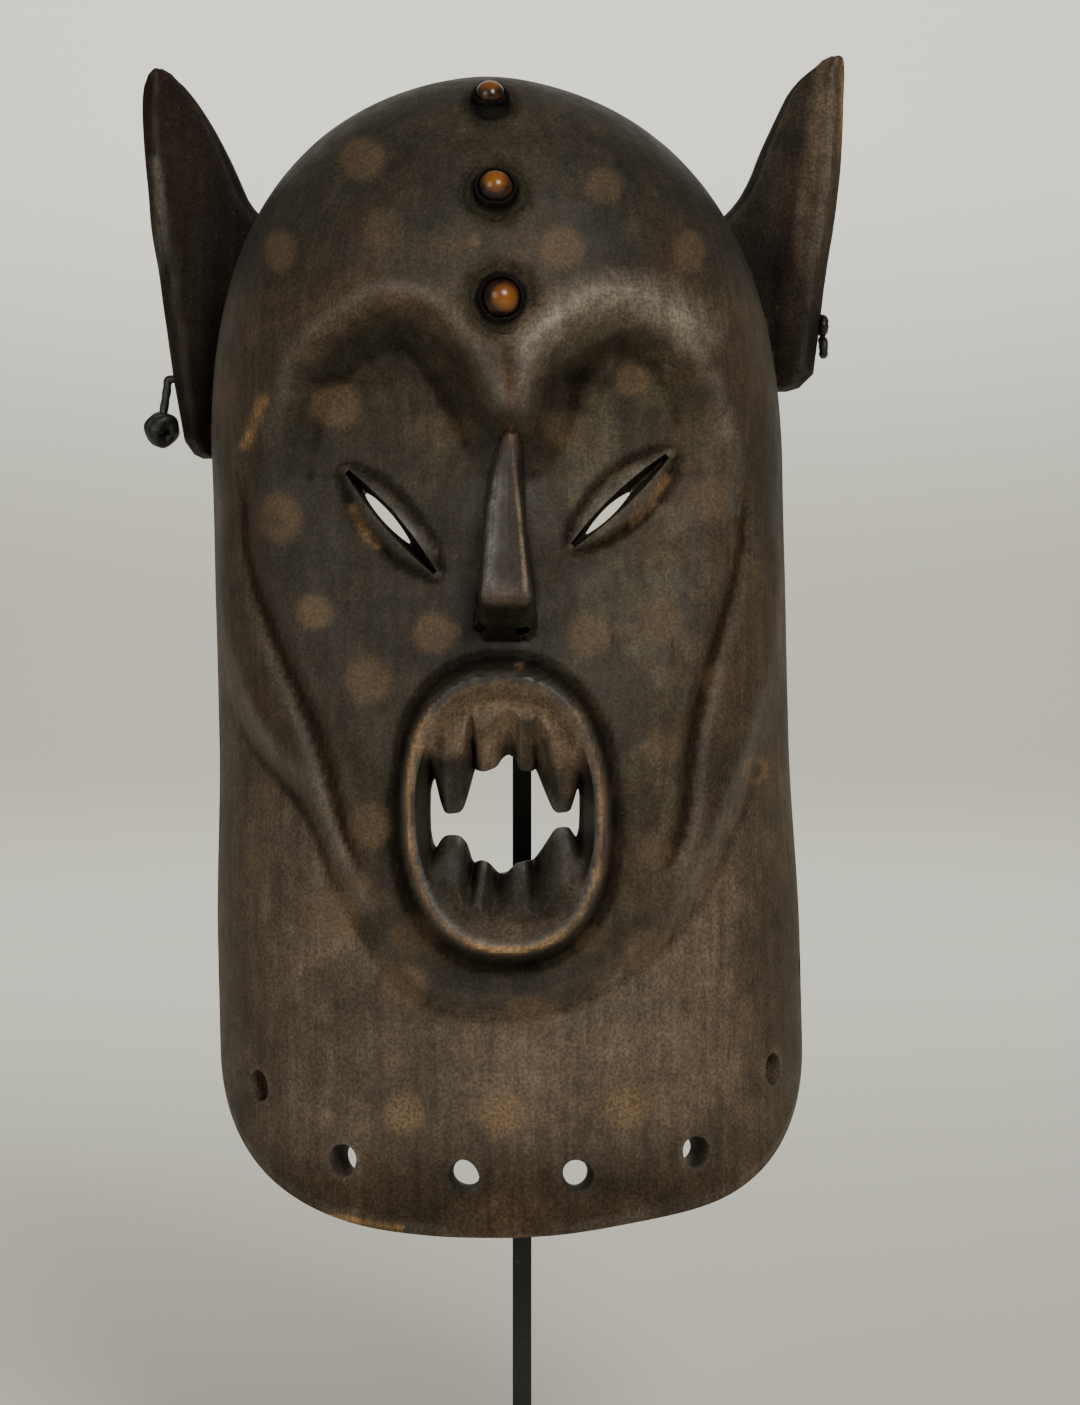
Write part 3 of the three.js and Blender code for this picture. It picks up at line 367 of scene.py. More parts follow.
def lid_rise(x, h, eye):
    s, w = along_line(x, h, *eye["lids"])
    share = np.sin(np.pi * np.clip(mix(0.03, 0.97, s), 0, 1)) ** 0.75
    half = np.maximum(eye["width"] / 2 * share, 0.01)
    round_part = np.maximum(0, 1 - (np.abs(w) / half) ** 2.2) ** 0.6
    return LID_HEIGHT * share * round_part


def front_depth(x, h):
    """Forward reach of the whole carved front."""
    skin = skin_depth(x, h)
    at = np.stack([x, h, skin * 0.6], axis=-1)
    front = round_share(x, half_width(h, 0, MASK_HEIGHT))
    skin = skin + (noise(at, 26, 3) * 0.75 + noise(at, 11, 4) * 0.28) * np.minimum(1, front * 1.4)
    skin = skin + noise(at * (1, 0.25, 1), 3.2, 5) * 0.09
    depth = smooth_max(skin, lip_depth(x, h) + noise(at, 9, 7) * 0.4, 2.5)
    for eye in EYES:
        depth = depth + lid_rise(x, h, eye)
    return depth


def rim_height(x, f):
    worn = RIM_WEAR * np.exp(-(((x - RIM_WEAR_X) / RIM_WEAR_SPREAD) ** 2))
    return worn + RIM_RISE * np.clip((APRON_DEPTH - f) / APRON_DEPTH, 0, 2) ** RIM_RISE_POWER


def settle(x, level, f, drop):
    lift = rim_height(x, f) * np.maximum(0, 1 - level / RIM_BLEND)
    behind = np.maximum(0, 1 - f / CROWN_REACH)
    fall = drop * smooth(300, MASK_HEIGHT, level) * behind * behind
    return np.stack([x + 0 * f, level + lift - fall, f], axis=-1)


def place(points):
    """From x, h, f in mm to the row frame in metres."""
    p = np.asarray(points, dtype=float)
    x, h, f = p[..., 0], p[..., 1], p[..., 2]
    lean = MASK_SHIFT - MASK_LEAN * (h - LEAN_PIVOT)
    return np.stack([lean + x, ROD_FORWARD - f, MASK_BOTTOM + h], axis=-1) / 1000


def unplace(world):
    p = np.asarray(world, dtype=float) * 1000
    h = p[:, 2] - MASK_BOTTOM
    return np.stack([p[:, 0] - MASK_SHIFT + MASK_LEAN * (h - LEAN_PIVOT), h, ROD_FORWARD - p[:, 1]], axis=-1)


def photo_pixels(world):
    """Where points of the row frame lie in the photograph."""
    p = np.asarray(world) * 1000
    scale = PIXELS_PER_SLOPE / (p[:, 1] + EYE_DISTANCE - ROD_FORWARD)
    across = PHOTO_MIDDLE[0] + (p[:, 0] - EYE_X) * scale
    down = PHOTO_MIDDLE[1] - (p[:, 2] - EYE_Z) * scale
    return np.stack([across, down], axis=-1)


def new_object(name, points, faces):
    """An object from points in the row frame, wound so that it faces out."""
    mesh = bpy.data.meshes.new(name)
    mesh.from_pydata([tuple(p) for p in points], [], faces)
    mesh.validate()
    ob = bpy.data.objects.new(name, mesh)
    bpy.context.scene.collection.objects.link(ob)
    points = np.asarray(points)
    volume = 0.0
    for face in faces:
        a = points[face[0]]
        for j in range(1, len(face) - 1):
            volume += np.dot(a, np.cross(points[face[j]], points[face[j + 1]]))
    if volume < 0:
        mesh.flip_normals()
    return ob


def ring_faces(rings, count, first=0):
    """Faces of a form through rings of count points, closed by a point at each end that follows the rings."""
    r = np.arange(rings - 1)[:, None] * count
    i = np.arange(count)[None]
    j = (i + 1) % count
    faces = np.stack([r + i, r + j, r + j + count, r + i + count], axis=-1).reshape(-1, 4) + first
    faces = faces.tolist()
    low, high = first + rings * count, first + rings * count + 1
    last = first + (rings - 1) * count
    for a in range(count):
        b = (a + 1) % count
        faces.append([first + b, first + a, low])
        faces.append([last + a, last + b, high])
    return faces


def ring_object(name, rings):
    """A closed object through rings of points in x, h, f."""
    rings = np.asarray(rings, dtype=float)
    count = rings.shape[1]
    ends = [rings[0].mean(axis=0), rings[-1].mean(axis=0)]
    points = np.concatenate([rings.reshape(-1, 3), ends])
    return new_object(name, place(points), ring_faces(len(rings), count))


def half_round_object(name, rows):
    """The half-round form closed by its flat back, from rows of x, h, f."""
    rows = np.asarray(rows)
    count = rows.shape[1]
    r = np.arange(len(rows) - 1)[:, None] * count
    i = np.arange(count)[None]
    j = (i + 1) % count
    faces = np.stack([r + i, r + j, r + j + count, r + i + count], axis=-1).reshape(-1, 4).tolist()
    top = (len(rows) - 1) * count
    half = (count - 1) // 2
    for a in range(half - 1):
        b, c, d = a + 1, count - 2 - a, count - 1 - a
        faces.append([b, a, d, c])
        faces.append([top + a, top + b, top + c, top + d])
    faces.append([half, half - 1, half + 1])
    faces.append([top + half - 1, top + half, top + half + 1])
    return new_object(name, place(rows.reshape(-1, 3)), faces)


def column_shares(flat, around):
    start = math.asin(0.86)
    inner = 0.86 * np.arange(1, flat + 1) / flat
    outer = np.sin(mix(start, math.pi / 2, np.arange(1, around + 1) / around))
    return np.concatenate([inner, outer])


def row_levels(apron, face, dome, top):
    face_top = top * 0.8
    low = 66 * np.arange(apron) / apron
    middle = mix(66, face_top, np.arange(face) / face)
    high = face_top + (top - face_top) * np.sin(math.pi / 2 * np.arange(dome) / dome)
    return np.concatenate([low, middle, high, [top - LAST_ROW_GAP]])


def outer_object():
    shares = column_shares(60, 26)
    shares = np.concatenate([-shares[::-1], [0], shares])
    levels = row_levels(44, 176, 62, MASK_HEIGHT)[:, None]
    width = half_width(levels, 0, MASK_HEIGHT)
    x = shares[None] * width
    base = SIDE_DEPTH + (APRON_DEPTH - SIDE_DEPTH) * round_share(x, width)
    lifted = levels + rim_height(x, base) * np.maximum(0, 1 - levels / RIM_BLEND)
    depth = front_depth(x, lifted)
    depth[:, 0] = depth[:, -1] = SIDE_DEPTH
    rows = settle(x, levels + 0 * x, depth, REAR_DROP)
    low = (lifted < CROWN_START) & (base > SIDE_DEPTH * 2)
    rows[..., 1] = np.where(low, lifted, rows[..., 1])
    sides = []
    for f in (6.6, 3.3, 0.0):
        flat = 0 * width[:, 0] + f
        sides.append([settle(sign * width[:, 0], levels[:, 0], flat, REAR_DROP) for sign in (-1, 1)])
    left = np.stack([s[0] for s in sides[::-1]], axis=1)
    right = np.stack([s[1] for s in sides], axis=1)
    return half_round_object("mask_outer", np.concatenate([left, rows, right], axis=1))


def hollow_reach(h):
    top = MASK_HEIGHT - WALL_TOP
    low = mix(APRON_DEPTH - WALL_APRON, HOLLOW_FACE_DEPTH, smooth(60, 130, h))
    return mix(CROWN_REACH - WALL_TOP, low, crown_share(h, top))


def hollow_depth(x, h):
    width = half_width(h, WALL_SIDE, MASK_HEIGHT - WALL_TOP)
    return SIDE_DEPTH + (hollow_reach(h) - SIDE_DEPTH) * round_share(x, width)


def hollow_object():
    """The hollow, with the shallow gouge marks of the tool that cleared it."""
    top = MASK_HEIGHT - WALL_TOP
    shares = column_shares(24, 12)
    shares = np.concatenate([-shares[::-1], [0], shares])
    levels = np.concatenate([[-RIM_RISE / 3], row_levels(14, 60, 22, top)])[:, None]
    width = half_width(levels, WALL_SIDE, top)
    x = shares[None] * width
    rows = settle(x, levels + 0 * x, hollow_depth(x, levels + 0 * x), REAR_DROP)
    gouge = np.abs(noise(rows * (1, 0.45, 1), 9, 11)) * 1.1 + 0.15
    upward = 0.6 * smooth(300, top, levels) + 0 * x
    out = np.stack([x / np.maximum(width, 1), upward, round_share(x, width)], axis=-1)
    rows[:-1] += (out * gouge[..., None])[:-1]
    behind = 0 * width[:, 0] - REAR_DROP
    sides = [settle(s * width[:, 0], levels[:, 0], behind, REAR_DROP / 4) for s in (-1, 1)]
    rows = np.concatenate([sides[0][:, None], rows, sides[1][:, None]], axis=1)
    return half_round_object("mask_hollow", rows)


def nose_object():
    """A narrow nose with a flat, faintly hollow top: its left edge is rounded, its right one crisp."""
    rings = []
    for h in np.concatenate([np.linspace(192, 206, 24), np.linspace(207, 286, 60)]):
        middle, proud, top, foot = (float(table_at(NOSE_STATIONS, h, k)) for k in range(1, 5))
        crest = float(face_depth(np.array(0.0), np.array(h))) + proud
        ground = crest - proud - 1
        knee = mix(top, foot, 0.4)
        section = np.array([
            (-foot, ground - 9), (-foot, ground), (-knee, mix(ground, crest, 0.6)),
            (-top, crest - 0.22 * proud - 0.6),
            (-top * 0.95, crest - 1.6), (-top * 0.82, crest - 0.6), (-top * 0.55, crest),
            (-top * 0.2, crest - 0.35),
            (top * 0.2, crest - 0.6), (top * 0.6, crest - 0.4), (top * 0.86, crest + 0.05),
            (top * 0.97, crest - 0.4),
            (top * 1.04, crest - 1.6), (knee, mix(ground, crest, 0.6)), (foot, ground), (foot, ground - 9),
        ])
        at = np.linspace(0, len(section) - 1, 5 * (len(section) - 1) + 1)
        xs = np.interp(at, np.arange(len(section)), section[:, 0]) + middle
        fs = np.interp(at, np.arange(len(section)), section[:, 1])
        ring = np.stack([xs, h + 0 * xs, fs], axis=-1)
        rough = noise(ring, 8, 6) * 0.22 + noise(ring, 3, 8) * 0.08
        ring[1:-1, 0] += rough[1:-1]
        ring[1:-1, 2] += rough[1:-1]
        rings.append(ring)
    return ring_object("nose", rings)


def oval_points(half_x, half_h, middle, angle, power):
    c, s = np.cos(angle), np.sin(angle)
    x = MOUTH_X + half_x * np.sign(c) * np.abs(c) ** (2 / power)
    return np.stack([x, middle + half_h * np.sign(s) * np.abs(s) ** (2 / power)], axis=-1)


def mouth_object():
    """Gums that slope in from the lip band and end in teeth, and the wider opening behind them."""
    table = np.array(TOOTH_OUTLINE, dtype=float)
    steps = 7
    at = np.arange((len(table) - 1) * steps) / steps
    line = np.stack([np.interp(at, np.arange(len(table)), table[:, k]) for k in range(4)], axis=-1)
    line[:, [0, 1, 3]] = sum(np.roll(line[:, [0, 1, 3]], k, axis=0) for k in range(-2, 3)) / 5
    teeth, angle, depth = line[:, :2], np.radians(line[:, 2]), line[:, 3]
    lip = oval_points(
        LIP_HALF_WIDTH - LIP_BAND_WIDTH, LIP_HALF_HEIGHT - LIP_BAND_HEIGHT, MOUTH_HEIGHT, angle, OVAL_POWER)
    hole = oval_points(OPENING_HALF_WIDTH, OPENING_HALF_HEIGHT, OPENING_HEIGHT, angle, OPENING_POWER)
    outward = lip - (MOUTH_X, MOUTH_HEIGHT)
    outward /= np.linalg.norm(outward, axis=-1, keepdims=True)
    stations = [(lip + outward * 1.6, -14 + 0 * depth), (lip + outward * 0.5, -1 + 0 * depth)]
    stations += [(mix(lip, teeth, t), mix(0.6, depth, t ** GUM_CURVE)) for t in np.linspace(0.03, 1, 22)]
    stations += [(teeth, depth + TOOTH_THICKNESS), (mix(teeth, hole, 0.7), depth + TOOTH_THICKNESS + 4),
                 (hole + outward * 1.2, 27 + 0 * depth), (hole + outward * 1.5, LIP_PROUD + 48 + 0 * depth)]
    rings = []
    for ring_at, back in stations:
        ring = np.concatenate([ring_at, (lip_crest(ring_at[:, 0]) - back)[:, None]], axis=1)
        uneven = noise(ring, 6, 21) * 0.45 + noise(ring * (1, 0.4, 0.4), 2.2, 22) * 0.35
        ring[:, 2] += uneven * (np.abs(back) < 26) * (back > 1)
        rings.append(ring)
    return ring_object("mouth_cut", rings)


def joined_object(name, objects):
    """One object from several that don't touch."""
    points, faces, first = [], [], 0
    for ob in objects:
        mesh = ob.data
        co = np.empty(len(mesh.vertices) * 3)
        mesh.vertices.foreach_get("co", co)
        points.append(co.reshape(-1, 3))
        faces += [[first + v for v in p.vertices] for p in mesh.polygons]
        first += len(mesh.vertices)
        bpy.data.objects.remove(ob)
    return new_object(name, np.concatenate(points), faces)


def bore_object(start, direction, length, radius, sides=28, flare=0.0):
    """A round cutter; flare widens its first few mm, as a worn hole's edge."""
    axis = Vector(direction).normalized()
    turn = axis.to_track_quat("Z", "Y").to_matrix()
    rings = []
    for along, grow in ((0, flare), (0.12, flare * 0.5), (0.2, 0), (0.6, 0), (1, 0)):
        ring = []
        for i in range(sides):
            a = 2 * math.pi * i / sides
            r = (radius + grow) * (1 + 0.04 * math.sin(2 * a + start[0]) + 0.03 * math.sin(3 * a + start[1]))
            ring.append(Vector(start) + turn @ Vector((math.cos(a) * r, math.sin(a) * r, along * length)))
        rings.append([tuple(p) for p in ring])
    return ring_object("bore", rings)


def skin_normal(x, h, d=2.0):
    xs = np.array([x + d, x - d, x, x], dtype=float)
    hs = np.array([h, h, h + d, h - d], dtype=float)
    a, b, c, e = skin_depth(xs, hs)
    return Vector((-(a - b) / (2 * d), -(c - e) / (2 * d), 1)).normalized()


def skin_at(x, h):
    return float(skin_depth(np.array([float(x)]), np.array([float(h)]))[0])


def turned_object(name, x, h, profile, sides, uneven=0.0):
    """A turned form standing on the skin, from pairs of radius and height."""
    axis = skin_normal(x, h, 3.0)
    turn = axis.to_track_quat("Z", "Y").to_matrix()
    foot = Vector((x, h, skin_at(x, h)))
    rings = []
    for radius, along in profile:
        ring = []
        for i in range(sides):
            a = 2 * math.pi * i / sides
            r = radius * (1 + uneven * math.sin(2 * a + 1.3) + uneven * 0.7 * math.sin(5 * a + along))
            ring.append(tuple(foot + turn @ Vector((math.cos(a) * r, math.sin(a) * r, along))))
        rings.append(ring)
    return ring_object(name, rings)


def seat_object(bead):
    _, x, h, seat, ball = bead
    profile = [
        (seat * 0.9, -5), (seat * 1.1, -1.8), (seat * 1.04, -0.6), (seat * 0.97, 0.3), (seat * 0.9, 0.9),
        (seat * 0.82, 1.4), (mix(seat, ball, 0.6), 2.2), (ball + 1.5, SEAT_HEIGHT),
        (ball + 1.1, SEAT_HEIGHT + 0.7),
        (ball + 0.4, SEAT_HEIGHT + 0.9), (ball * 0.8, SEAT_HEIGHT + 0.3), (ball * 0.5, SEAT_HEIGHT),
    ]
    return turned_object("seat", x, h, profile, 56, 0.03)


def ball_profile(bead, grow, count, flat=1.0):
    radius = bead[4] + grow
    middle = SEAT_HEIGHT - bead[4] * BEAD_SUNK
    angles = np.linspace(-0.497, 0.497, count) * np.pi
    return [(radius * math.cos(a), middle + radius * math.sin(a) * flat) for a in angles]


def slit_object(eye):
    a, b = eye["slit"]
    length = math.hypot(b[0] - a[0], b[1] - a[1])
    across = (-(b[1] - a[1]) / length, (b[0] - a[0]) / length)
    rings = []
    for s in np.linspace(0, 1, 25):
        share = math.sin(math.pi * mix(0.03, 0.97, s)) ** 0.75
        half = eye["slit_width"] / 2 * share
        cx, ch = mix(a[0], b[0], s), mix(a[1], b[1], s)
        ground = skin_at(cx, ch)
        side = [(half * 1.6, -30), (half * 1.05, -6), (half, -3), (half * 1.05, -0.5), (half * 1.35, 2.5),
                (half * LID_MOUTH, LID_HEIGHT + 4)]
        section = side + [(-w, f) for w, f in reversed(side)]
        rings.append([(cx + across[0] * w, ch + across[1] * w, ground + f) for w, f in section])
    return ring_object("slit", rings)


def lid_groove_object(eye):
    """The shallow groove that runs on past the slit, along both lids."""
    a, b = eye["lids"]
    length = math.hypot(b[0] - a[0], b[1] - a[1])
    across = (-(b[1] - a[1]) / length, (b[0] - a[0]) / length)
    rings = []
    for s in np.linspace(0.04, 0.97, 31):
        half = math.sin(math.pi * mix(0.04, 0.96, s)) ** 0.6
        cx, ch = mix(a[0], b[0], s), mix(a[1], b[1], s)
        ground = skin_at(cx, ch)
        section = [(0.5, -2.4), (1.5, -0.6), (2.3, 2.2), (3.1, LID_HEIGHT + 3)]
        section = [(w * half, f) for w, f in section]
        section += [(-w, f) for w, f in reversed(section)]
        rings.append([(cx + across[0] * w, ch + across[1] * w, ground + f) for w, f in section])
    return ring_object("lid_groove", rings)


def ear_object(name, table, side, seed):
    """A flat ear with a bevelled outer edge and a scooped front, its corners rounded a little."""
    foot, tip = table[0][0], table[-1][0]
    heights = np.linspace(foot, tip, 100)
    fine = np.array([[table_at(table, h + d, k) for k in (1, 2)] for h in heights for d in (-3, 0, 3)])
    fine = fine.reshape(-1, 3, 2).mean(axis=1)
    fine[0] = [table[0][1], table[0][2]]
    fine[-1] = [table[-1][1], table[-1][2]]
    rings = []
    for h, (outer, inner) in zip(heights, fine):
        thin = mix(1, EAR_TIP_THIN, smooth(mix(foot, tip, 0.45), tip, h))
        width = outer - inner
        ridge, scoop = EAR_THICKNESS * thin, EAR_SCOOP * thin
        bevel = min(EAR_BEVEL, width * 0.3)
        corners = [
            (outer - 0.4, 0), (outer, 0.5), (outer, EAR_EDGE * thin), (outer - bevel, ridge),
            (outer - bevel - 1.2, ridge - 0.1), (mix(outer, inner, 0.55), ridge - scoop),
            (inner + width * 0.08, ridge - scoop * 0.8), (inner + 0.5, EAR_EDGE * thin + 2),
            (inner, EAR_EDGE * thin),
            (inner, 0.4), (inner + 0.4, 0),
        ]
        section = np.array(corners + [corners[0]])
        steps = np.hypot(*np.diff(section, axis=0).T)
        length = np.concatenate([[0], np.cumsum(steps)])
        at = np.linspace(0, length[-1], 41)[:-1]
        xs = np.interp(at, length, section[:, 0])
        fs = np.interp(at, length, section[:, 1])
        ring = np.stack([side * xs, h + 0 * xs, fs], axis=-1)
        rough = noise(ring, 12, seed) * 0.45 + noise(ring, 5, seed + 1) * 0.18
        ring[:, 2] += np.where(fs > 1.5, rough, 0)
        ring[:, 0] += side * np.where(fs > 1.5, rough, 0) * 0.3
        rings.append(ring)
    return ring_object(name, rings)


def thong_hole(table, side, h):
    edge = float(table_at(table, h, 1))
    return bore_object((side * (edge + 3), h, THONG_DEPTH), (-side, 0, 0), THONG_HOLE_DEPTH + 3,
                       THONG_RADIUS + FIT_GAP, 16)


def lacing_bores():
    bores = []
    for x, h in FRONT_HOLES:
        normal = skin_normal(x, h)
        normal = Vector((normal.x, 0, normal.z)).normalized()
        start = Vector((x, h, skin_at(x, h))) + normal * 2.0
        bores.append(bore_object(tuple(start), tuple(-normal), 40, HOLE_RADIUS, flare=0.9))
    for side, f, h in SIDE_HOLES:
        x = float(half_width(np.array(float(h)), 0, MASK_HEIGHT)) + 2
        bores.append(bore_object((side * x, h, f), (-side, 0, 0), WALL_SIDE + 10, HOLE_RADIUS, flare=0.9))
    return bores


def nostril_bores():
    under = NOSE_STATIONS[-2]
    f = float(face_depth(np.array(0.0), np.array(float(under[0])))) + under[2] + 2
    starts = [(NOSTRIL_X + side * NOSTRIL_SPREAD, under[0] - 4, f) for side in (-1, 1)]
    return [bore_object(start, (0, 0.5, -1), 12, NOSTRIL_RADIUS, 20) for start in starts]


def boolean(ob, other, operation):
    """Cuts or joins other into ob and drops other."""
    modifier = ob.modifiers.new("cut", "BOOLEAN")
    modifier.object = other
    modifier.operation = operation
    modifier.solver = "MANIFOLD"
    result = bpy.data.meshes.new_from_object(ob.evaluated_get(bpy.context.evaluated_depsgraph_get()))
    ob.modifiers.clear()
    ob.data = result
    bpy.data.objects.remove(other)


def carved_mask():
    mask = outer_object()
    added = [nose_object()] + [seat_object(bead) for bead in BEADS]
    added += [ear_object("left_ear", LEFT_EAR, -1, 41), ear_object("right_ear", RIGHT_EAR, 1, 43)]
    boolean(mask, joined_object("added", added), "UNION")
    boolean(mask, hollow_object(), "DIFFERENCE")
    cuts = [mouth_object()] + [slit_object(eye) for eye in EYES]
    cuts += [turned_object("socket", b[1], b[2], ball_profile(b, FIT_GAP * 1.4, 14), 32) for b in BEADS]
    cuts += nostril_bores() + lacing_bores()
    cuts += [thong_hole(LEFT_EAR, -1, LEFT_THONG_HEIGHT), thong_hole(RIGHT_EAR, 1, RIGHT_THONG_HEIGHT)]
    boolean(mask, joined_object("cuts", cuts), "DIFFERENCE")
    boolean(mask, joined_object("grooves", [lid_groove_object(eye) for eye in EYES]), "DIFFERENCE")
    mask.name = "carved_mask"
    return mask


# Painted look: places are photo pixels (x, y, half-width, half-height, strength)
SPOTS = [
    (363, 158, 22, 20, 0.75), (280, 250, 15, 22, 0.7), (383, 228, 21, 20, 0.4), (562, 247, 22, 21, 0.9),
    (605, 185, 18, 18, 0.55), (690, 250, 15, 20, 0.75), (475, 241, 7, 6, 0.8), (337, 405, 25, 22, 0.8),
    (440, 430, 22, 20, 0.35), (632, 380, 18, 15, 0.95), (565, 430, 20, 18, 0.5), (278, 518, 23, 25, 0.75),
    (315, 611, 18, 18, 1.0), (434, 633, 20, 20, 0.9), (455, 630, 7, 8, 0.8), (590, 635, 22, 21, 0.85),
    (662, 622, 20, 22, 0.7), (712, 497, 21, 23, 0.65), (368, 680, 22, 22, 0.75), (662, 747, 19, 18, 0.65),
    (370, 825, 21, 22, 0.85), (335, 915, 22, 23, 0.95), (415, 935, 24, 20, 0.6), (405, 985, 23, 22, 0.85),
    (530, 1015, 24, 20, 0.7), (645, 948, 21, 19, 0.8), (655, 850, 17, 18, 0.7), (745, 1020, 11, 20, 0.85),
    (628, 1106, 23, 20, 1.0), (502, 1113, 23, 22, 1.0), (404, 1113, 19, 20, 0.95), (252, 865, 9, 18, 0.5),
    (270, 790, 10, 19, 0.45), (228, 395, 9, 20, 0.35), (715, 680, 15, 15, 0.5), (590, 940, 15, 14, 0.45),
    (360, 885, 11, 11, 0.5), (720, 870, 18, 16, 0.3), (520, 665, 4, 4, 1.0),
]
GOLD_RING = (755, 770, 12, 14)
BROWN = (0.045, 0.031, 0.018)
APRON_BROWN = (0.084, 0.062, 0.042)
# sooty dark wood, also laid as painted shade under the lips and nose and on sides turned from the light
SOOT_AND_SHADE = (0.0130, 0.0118, 0.0078)
OLIVE = (0.048, 0.040, 0.023)
# near black: charred wood and resin, and painted shade in holes, gaps and crevices
CHARRED_AND_SHADE = (0.004, 0.0034, 0.0024)
# painted highlight colour, laid on lit edges, ridges and lids
PAINTED_SHEEN = (0.075, 0.064, 0.050)
GOLDEN = (0.235, 0.135, 0.052)
RUST = (0.050, 0.020, 0.009)
GUM = (0.088, 0.060, 0.036)
TOOTH = (0.020, 0.016, 0.010)
HOLLOW_BROWN = (0.070, 0.045, 0.027)

# Dark patches: soot on the wood, and painted shade under the nose and under the lips; x, y, half-width,
# half-height, strength
SOOT_AND_SHADE_PATCHES = [
    (390, 560, 130, 150, 0.6), (505, 645, 90, 32, 0.85), (330, 165, 110, 60, 0.5), (640, 190, 90, 70, 0.45),
    (285, 480, 40, 60, 0.5), (350, 360, 70, 30, 0.5), (505, 1000, 170, 26, 0.45), (300, 720, 45, 90, 0.45),
    (705, 770, 40, 120, 0.22), (770, 480, 22, 90, 0.55),
]

# Worn lines, dark lines, painted highlights and painted shade: points, half-width, colour, strength
STROKES = [
    # painted highlight along the right brow's crest, then the left brow's own reddish brown
    ([(530, 350), (565, 314), (610, 298), (660, 302), (700, 334)], 20, (0.115, 0.095, 0.073), 0.85),
    ([(444, 316), (394, 298), (340, 318), (310, 350)], 12, (0.072, 0.045, 0.028), 0.6),
    # painted highlight along the face's right edge
    ([(716, 375), (737, 455), (735, 510)], 6, PAINTED_SHEEN, 0.6),
    # painted shade in the hollow under the lips
    ([(375, 925), (425, 972), (500, 988), (580, 972), (640, 925)], 17, SOOT_AND_SHADE, 0.7),
    # painted highlights along the nose's left and right edges, then its own reddish root and dark top
    ([(500, 450), (493, 500), (487, 560), (486, 590)], 7, (0.088, 0.080, 0.072), 0.95),
    ([(510, 425), (514, 470), (520, 520), (524, 565), (525, 590)], 2, (0.13, 0.095, 0.065), 0.9),
    ([(508, 350), (511, 400), (512, 440)], 7, RUST, 0.6),
    ([(506, 450), (507, 500), (508, 578)], 9, (0.017, 0.009, 0.006), 0.92),
    # the nose tip's own colour, and painted shade under the nose
    ([(490, 597), (518, 597)], 8, (0.034, 0.019, 0.012), 0.9), ([(483, 612), (528, 615)], 6, CHARRED_AND_SHADE, 0.3),
    # painted shade in the gaps between the teeth, among the teeth's own lighter ridges
    ([(473, 742), (476, 770)], 4, CHARRED_AND_SHADE, 0.9), ([(535, 748), (522, 768)], 5, CHARRED_AND_SHADE, 0.7),
    ([(545, 740), (557, 795)], 4, CHARRED_AND_SHADE, 0.8), ([(441, 740), (441, 800)], 4, CHARRED_AND_SHADE, 0.7),
    ([(527, 725), (528, 752)], 7, SOOT_AND_SHADE, 0.7), ([(566, 735), (568, 790)], 7, (0.050, 0.032, 0.018), 0.7),
    ([(472, 862), (473, 884)], 4, CHARRED_AND_SHADE, 0.9), ([(498, 872), (499, 893)], 4, CHARRED_AND_SHADE, 0.9),
    ([(533, 866), (534, 895)], 4, CHARRED_AND_SHADE, 0.9), ([(564, 842), (569, 900)], 4, (0.040, 0.033, 0.025), 0.8),
    ([(452, 850), (452, 890)], 5, (0.030, 0.026, 0.019), 0.7), ([(578, 831), (579, 853)], 4, CHARRED_AND_SHADE, 0.9),
    ([(480, 928), (530, 935), (560, 918), (580, 890)], 8, (0.070, 0.050, 0.036), 0.5),
    ([(353, 507), (364, 530), (377, 545)], 4, (0.14, 0.085, 0.045), 0.9),
    ([(665, 479), (650, 502), (632, 521)], 4, (0.16, 0.095, 0.05), 0.9),
    # painted highlights on the upper lids
    ([(420, 531), (433, 552)], 3, PAINTED_SHEEN, 0.8), ([(580, 521), (611, 481)], 3, PAINTED_SHEEN, 0.7),
    ([(262, 400), (252, 428), (246, 444)], 5, GOLDEN, 0.75),
    ([(843, 60), (844, 110), (842, 150)], 3, GOLDEN, 0.5),
    # a worn golden edge low at the left, and a painted highlight along the left ear's ridge
    ([(330, 1216), (400, 1228)], 3, GOLDEN, 0.7), ([(155, 160), (160, 230), (152, 330)], 5, PAINTED_SHEEN, 0.8),
    # painted highlights along the left and right jaw ridges
    ([(243, 700), (262, 760), (290, 860)], 7, PAINTED_SHEEN, 0.25),
    ([(765, 690), (745, 760), (720, 850)], 8, PAINTED_SHEEN, 0.35),
]


def blob(px, centre_x, centre_y, half_x, half_y, soft=0.5, turn=0.0):
    """1 inside an oval of photo pixels, fading to 0 over its outer part."""
    dx, dy = px[:, 0] - centre_x, px[:, 1] - centre_y
    c, s = math.cos(turn), math.sin(turn)
    r = np.hypot((dx * c + dy * s) / half_x, (dy * c - dx * s) / half_y)
    return 1 - smooth(1 - soft, 1 + soft, r)


def stroke(px, points, half, soft=0.6):
    """1 along a line of photo pixels, fading to 0 beside it."""
    best = np.full(len(px), 1e9)
    for (ax, ay), (bx, by) in zip(points, points[1:]):
        dx, dy = bx - ax, by - ay
        t = np.clip(((px[:, 0] - ax) * dx + (px[:, 1] - ay) * dy) / (dx * dx + dy * dy), 0, 1)
        best = np.minimum(best, np.hypot(px[:, 0] - ax - dx * t, px[:, 1] - ay - dy * t))
    return 1 - smooth(half * (1 - soft), half * (1 + soft), best)


def lay(tone, colour, amount):
    tone += (np.asarray(colour) - tone) * np.clip(amount, 0, 1)[:, None]


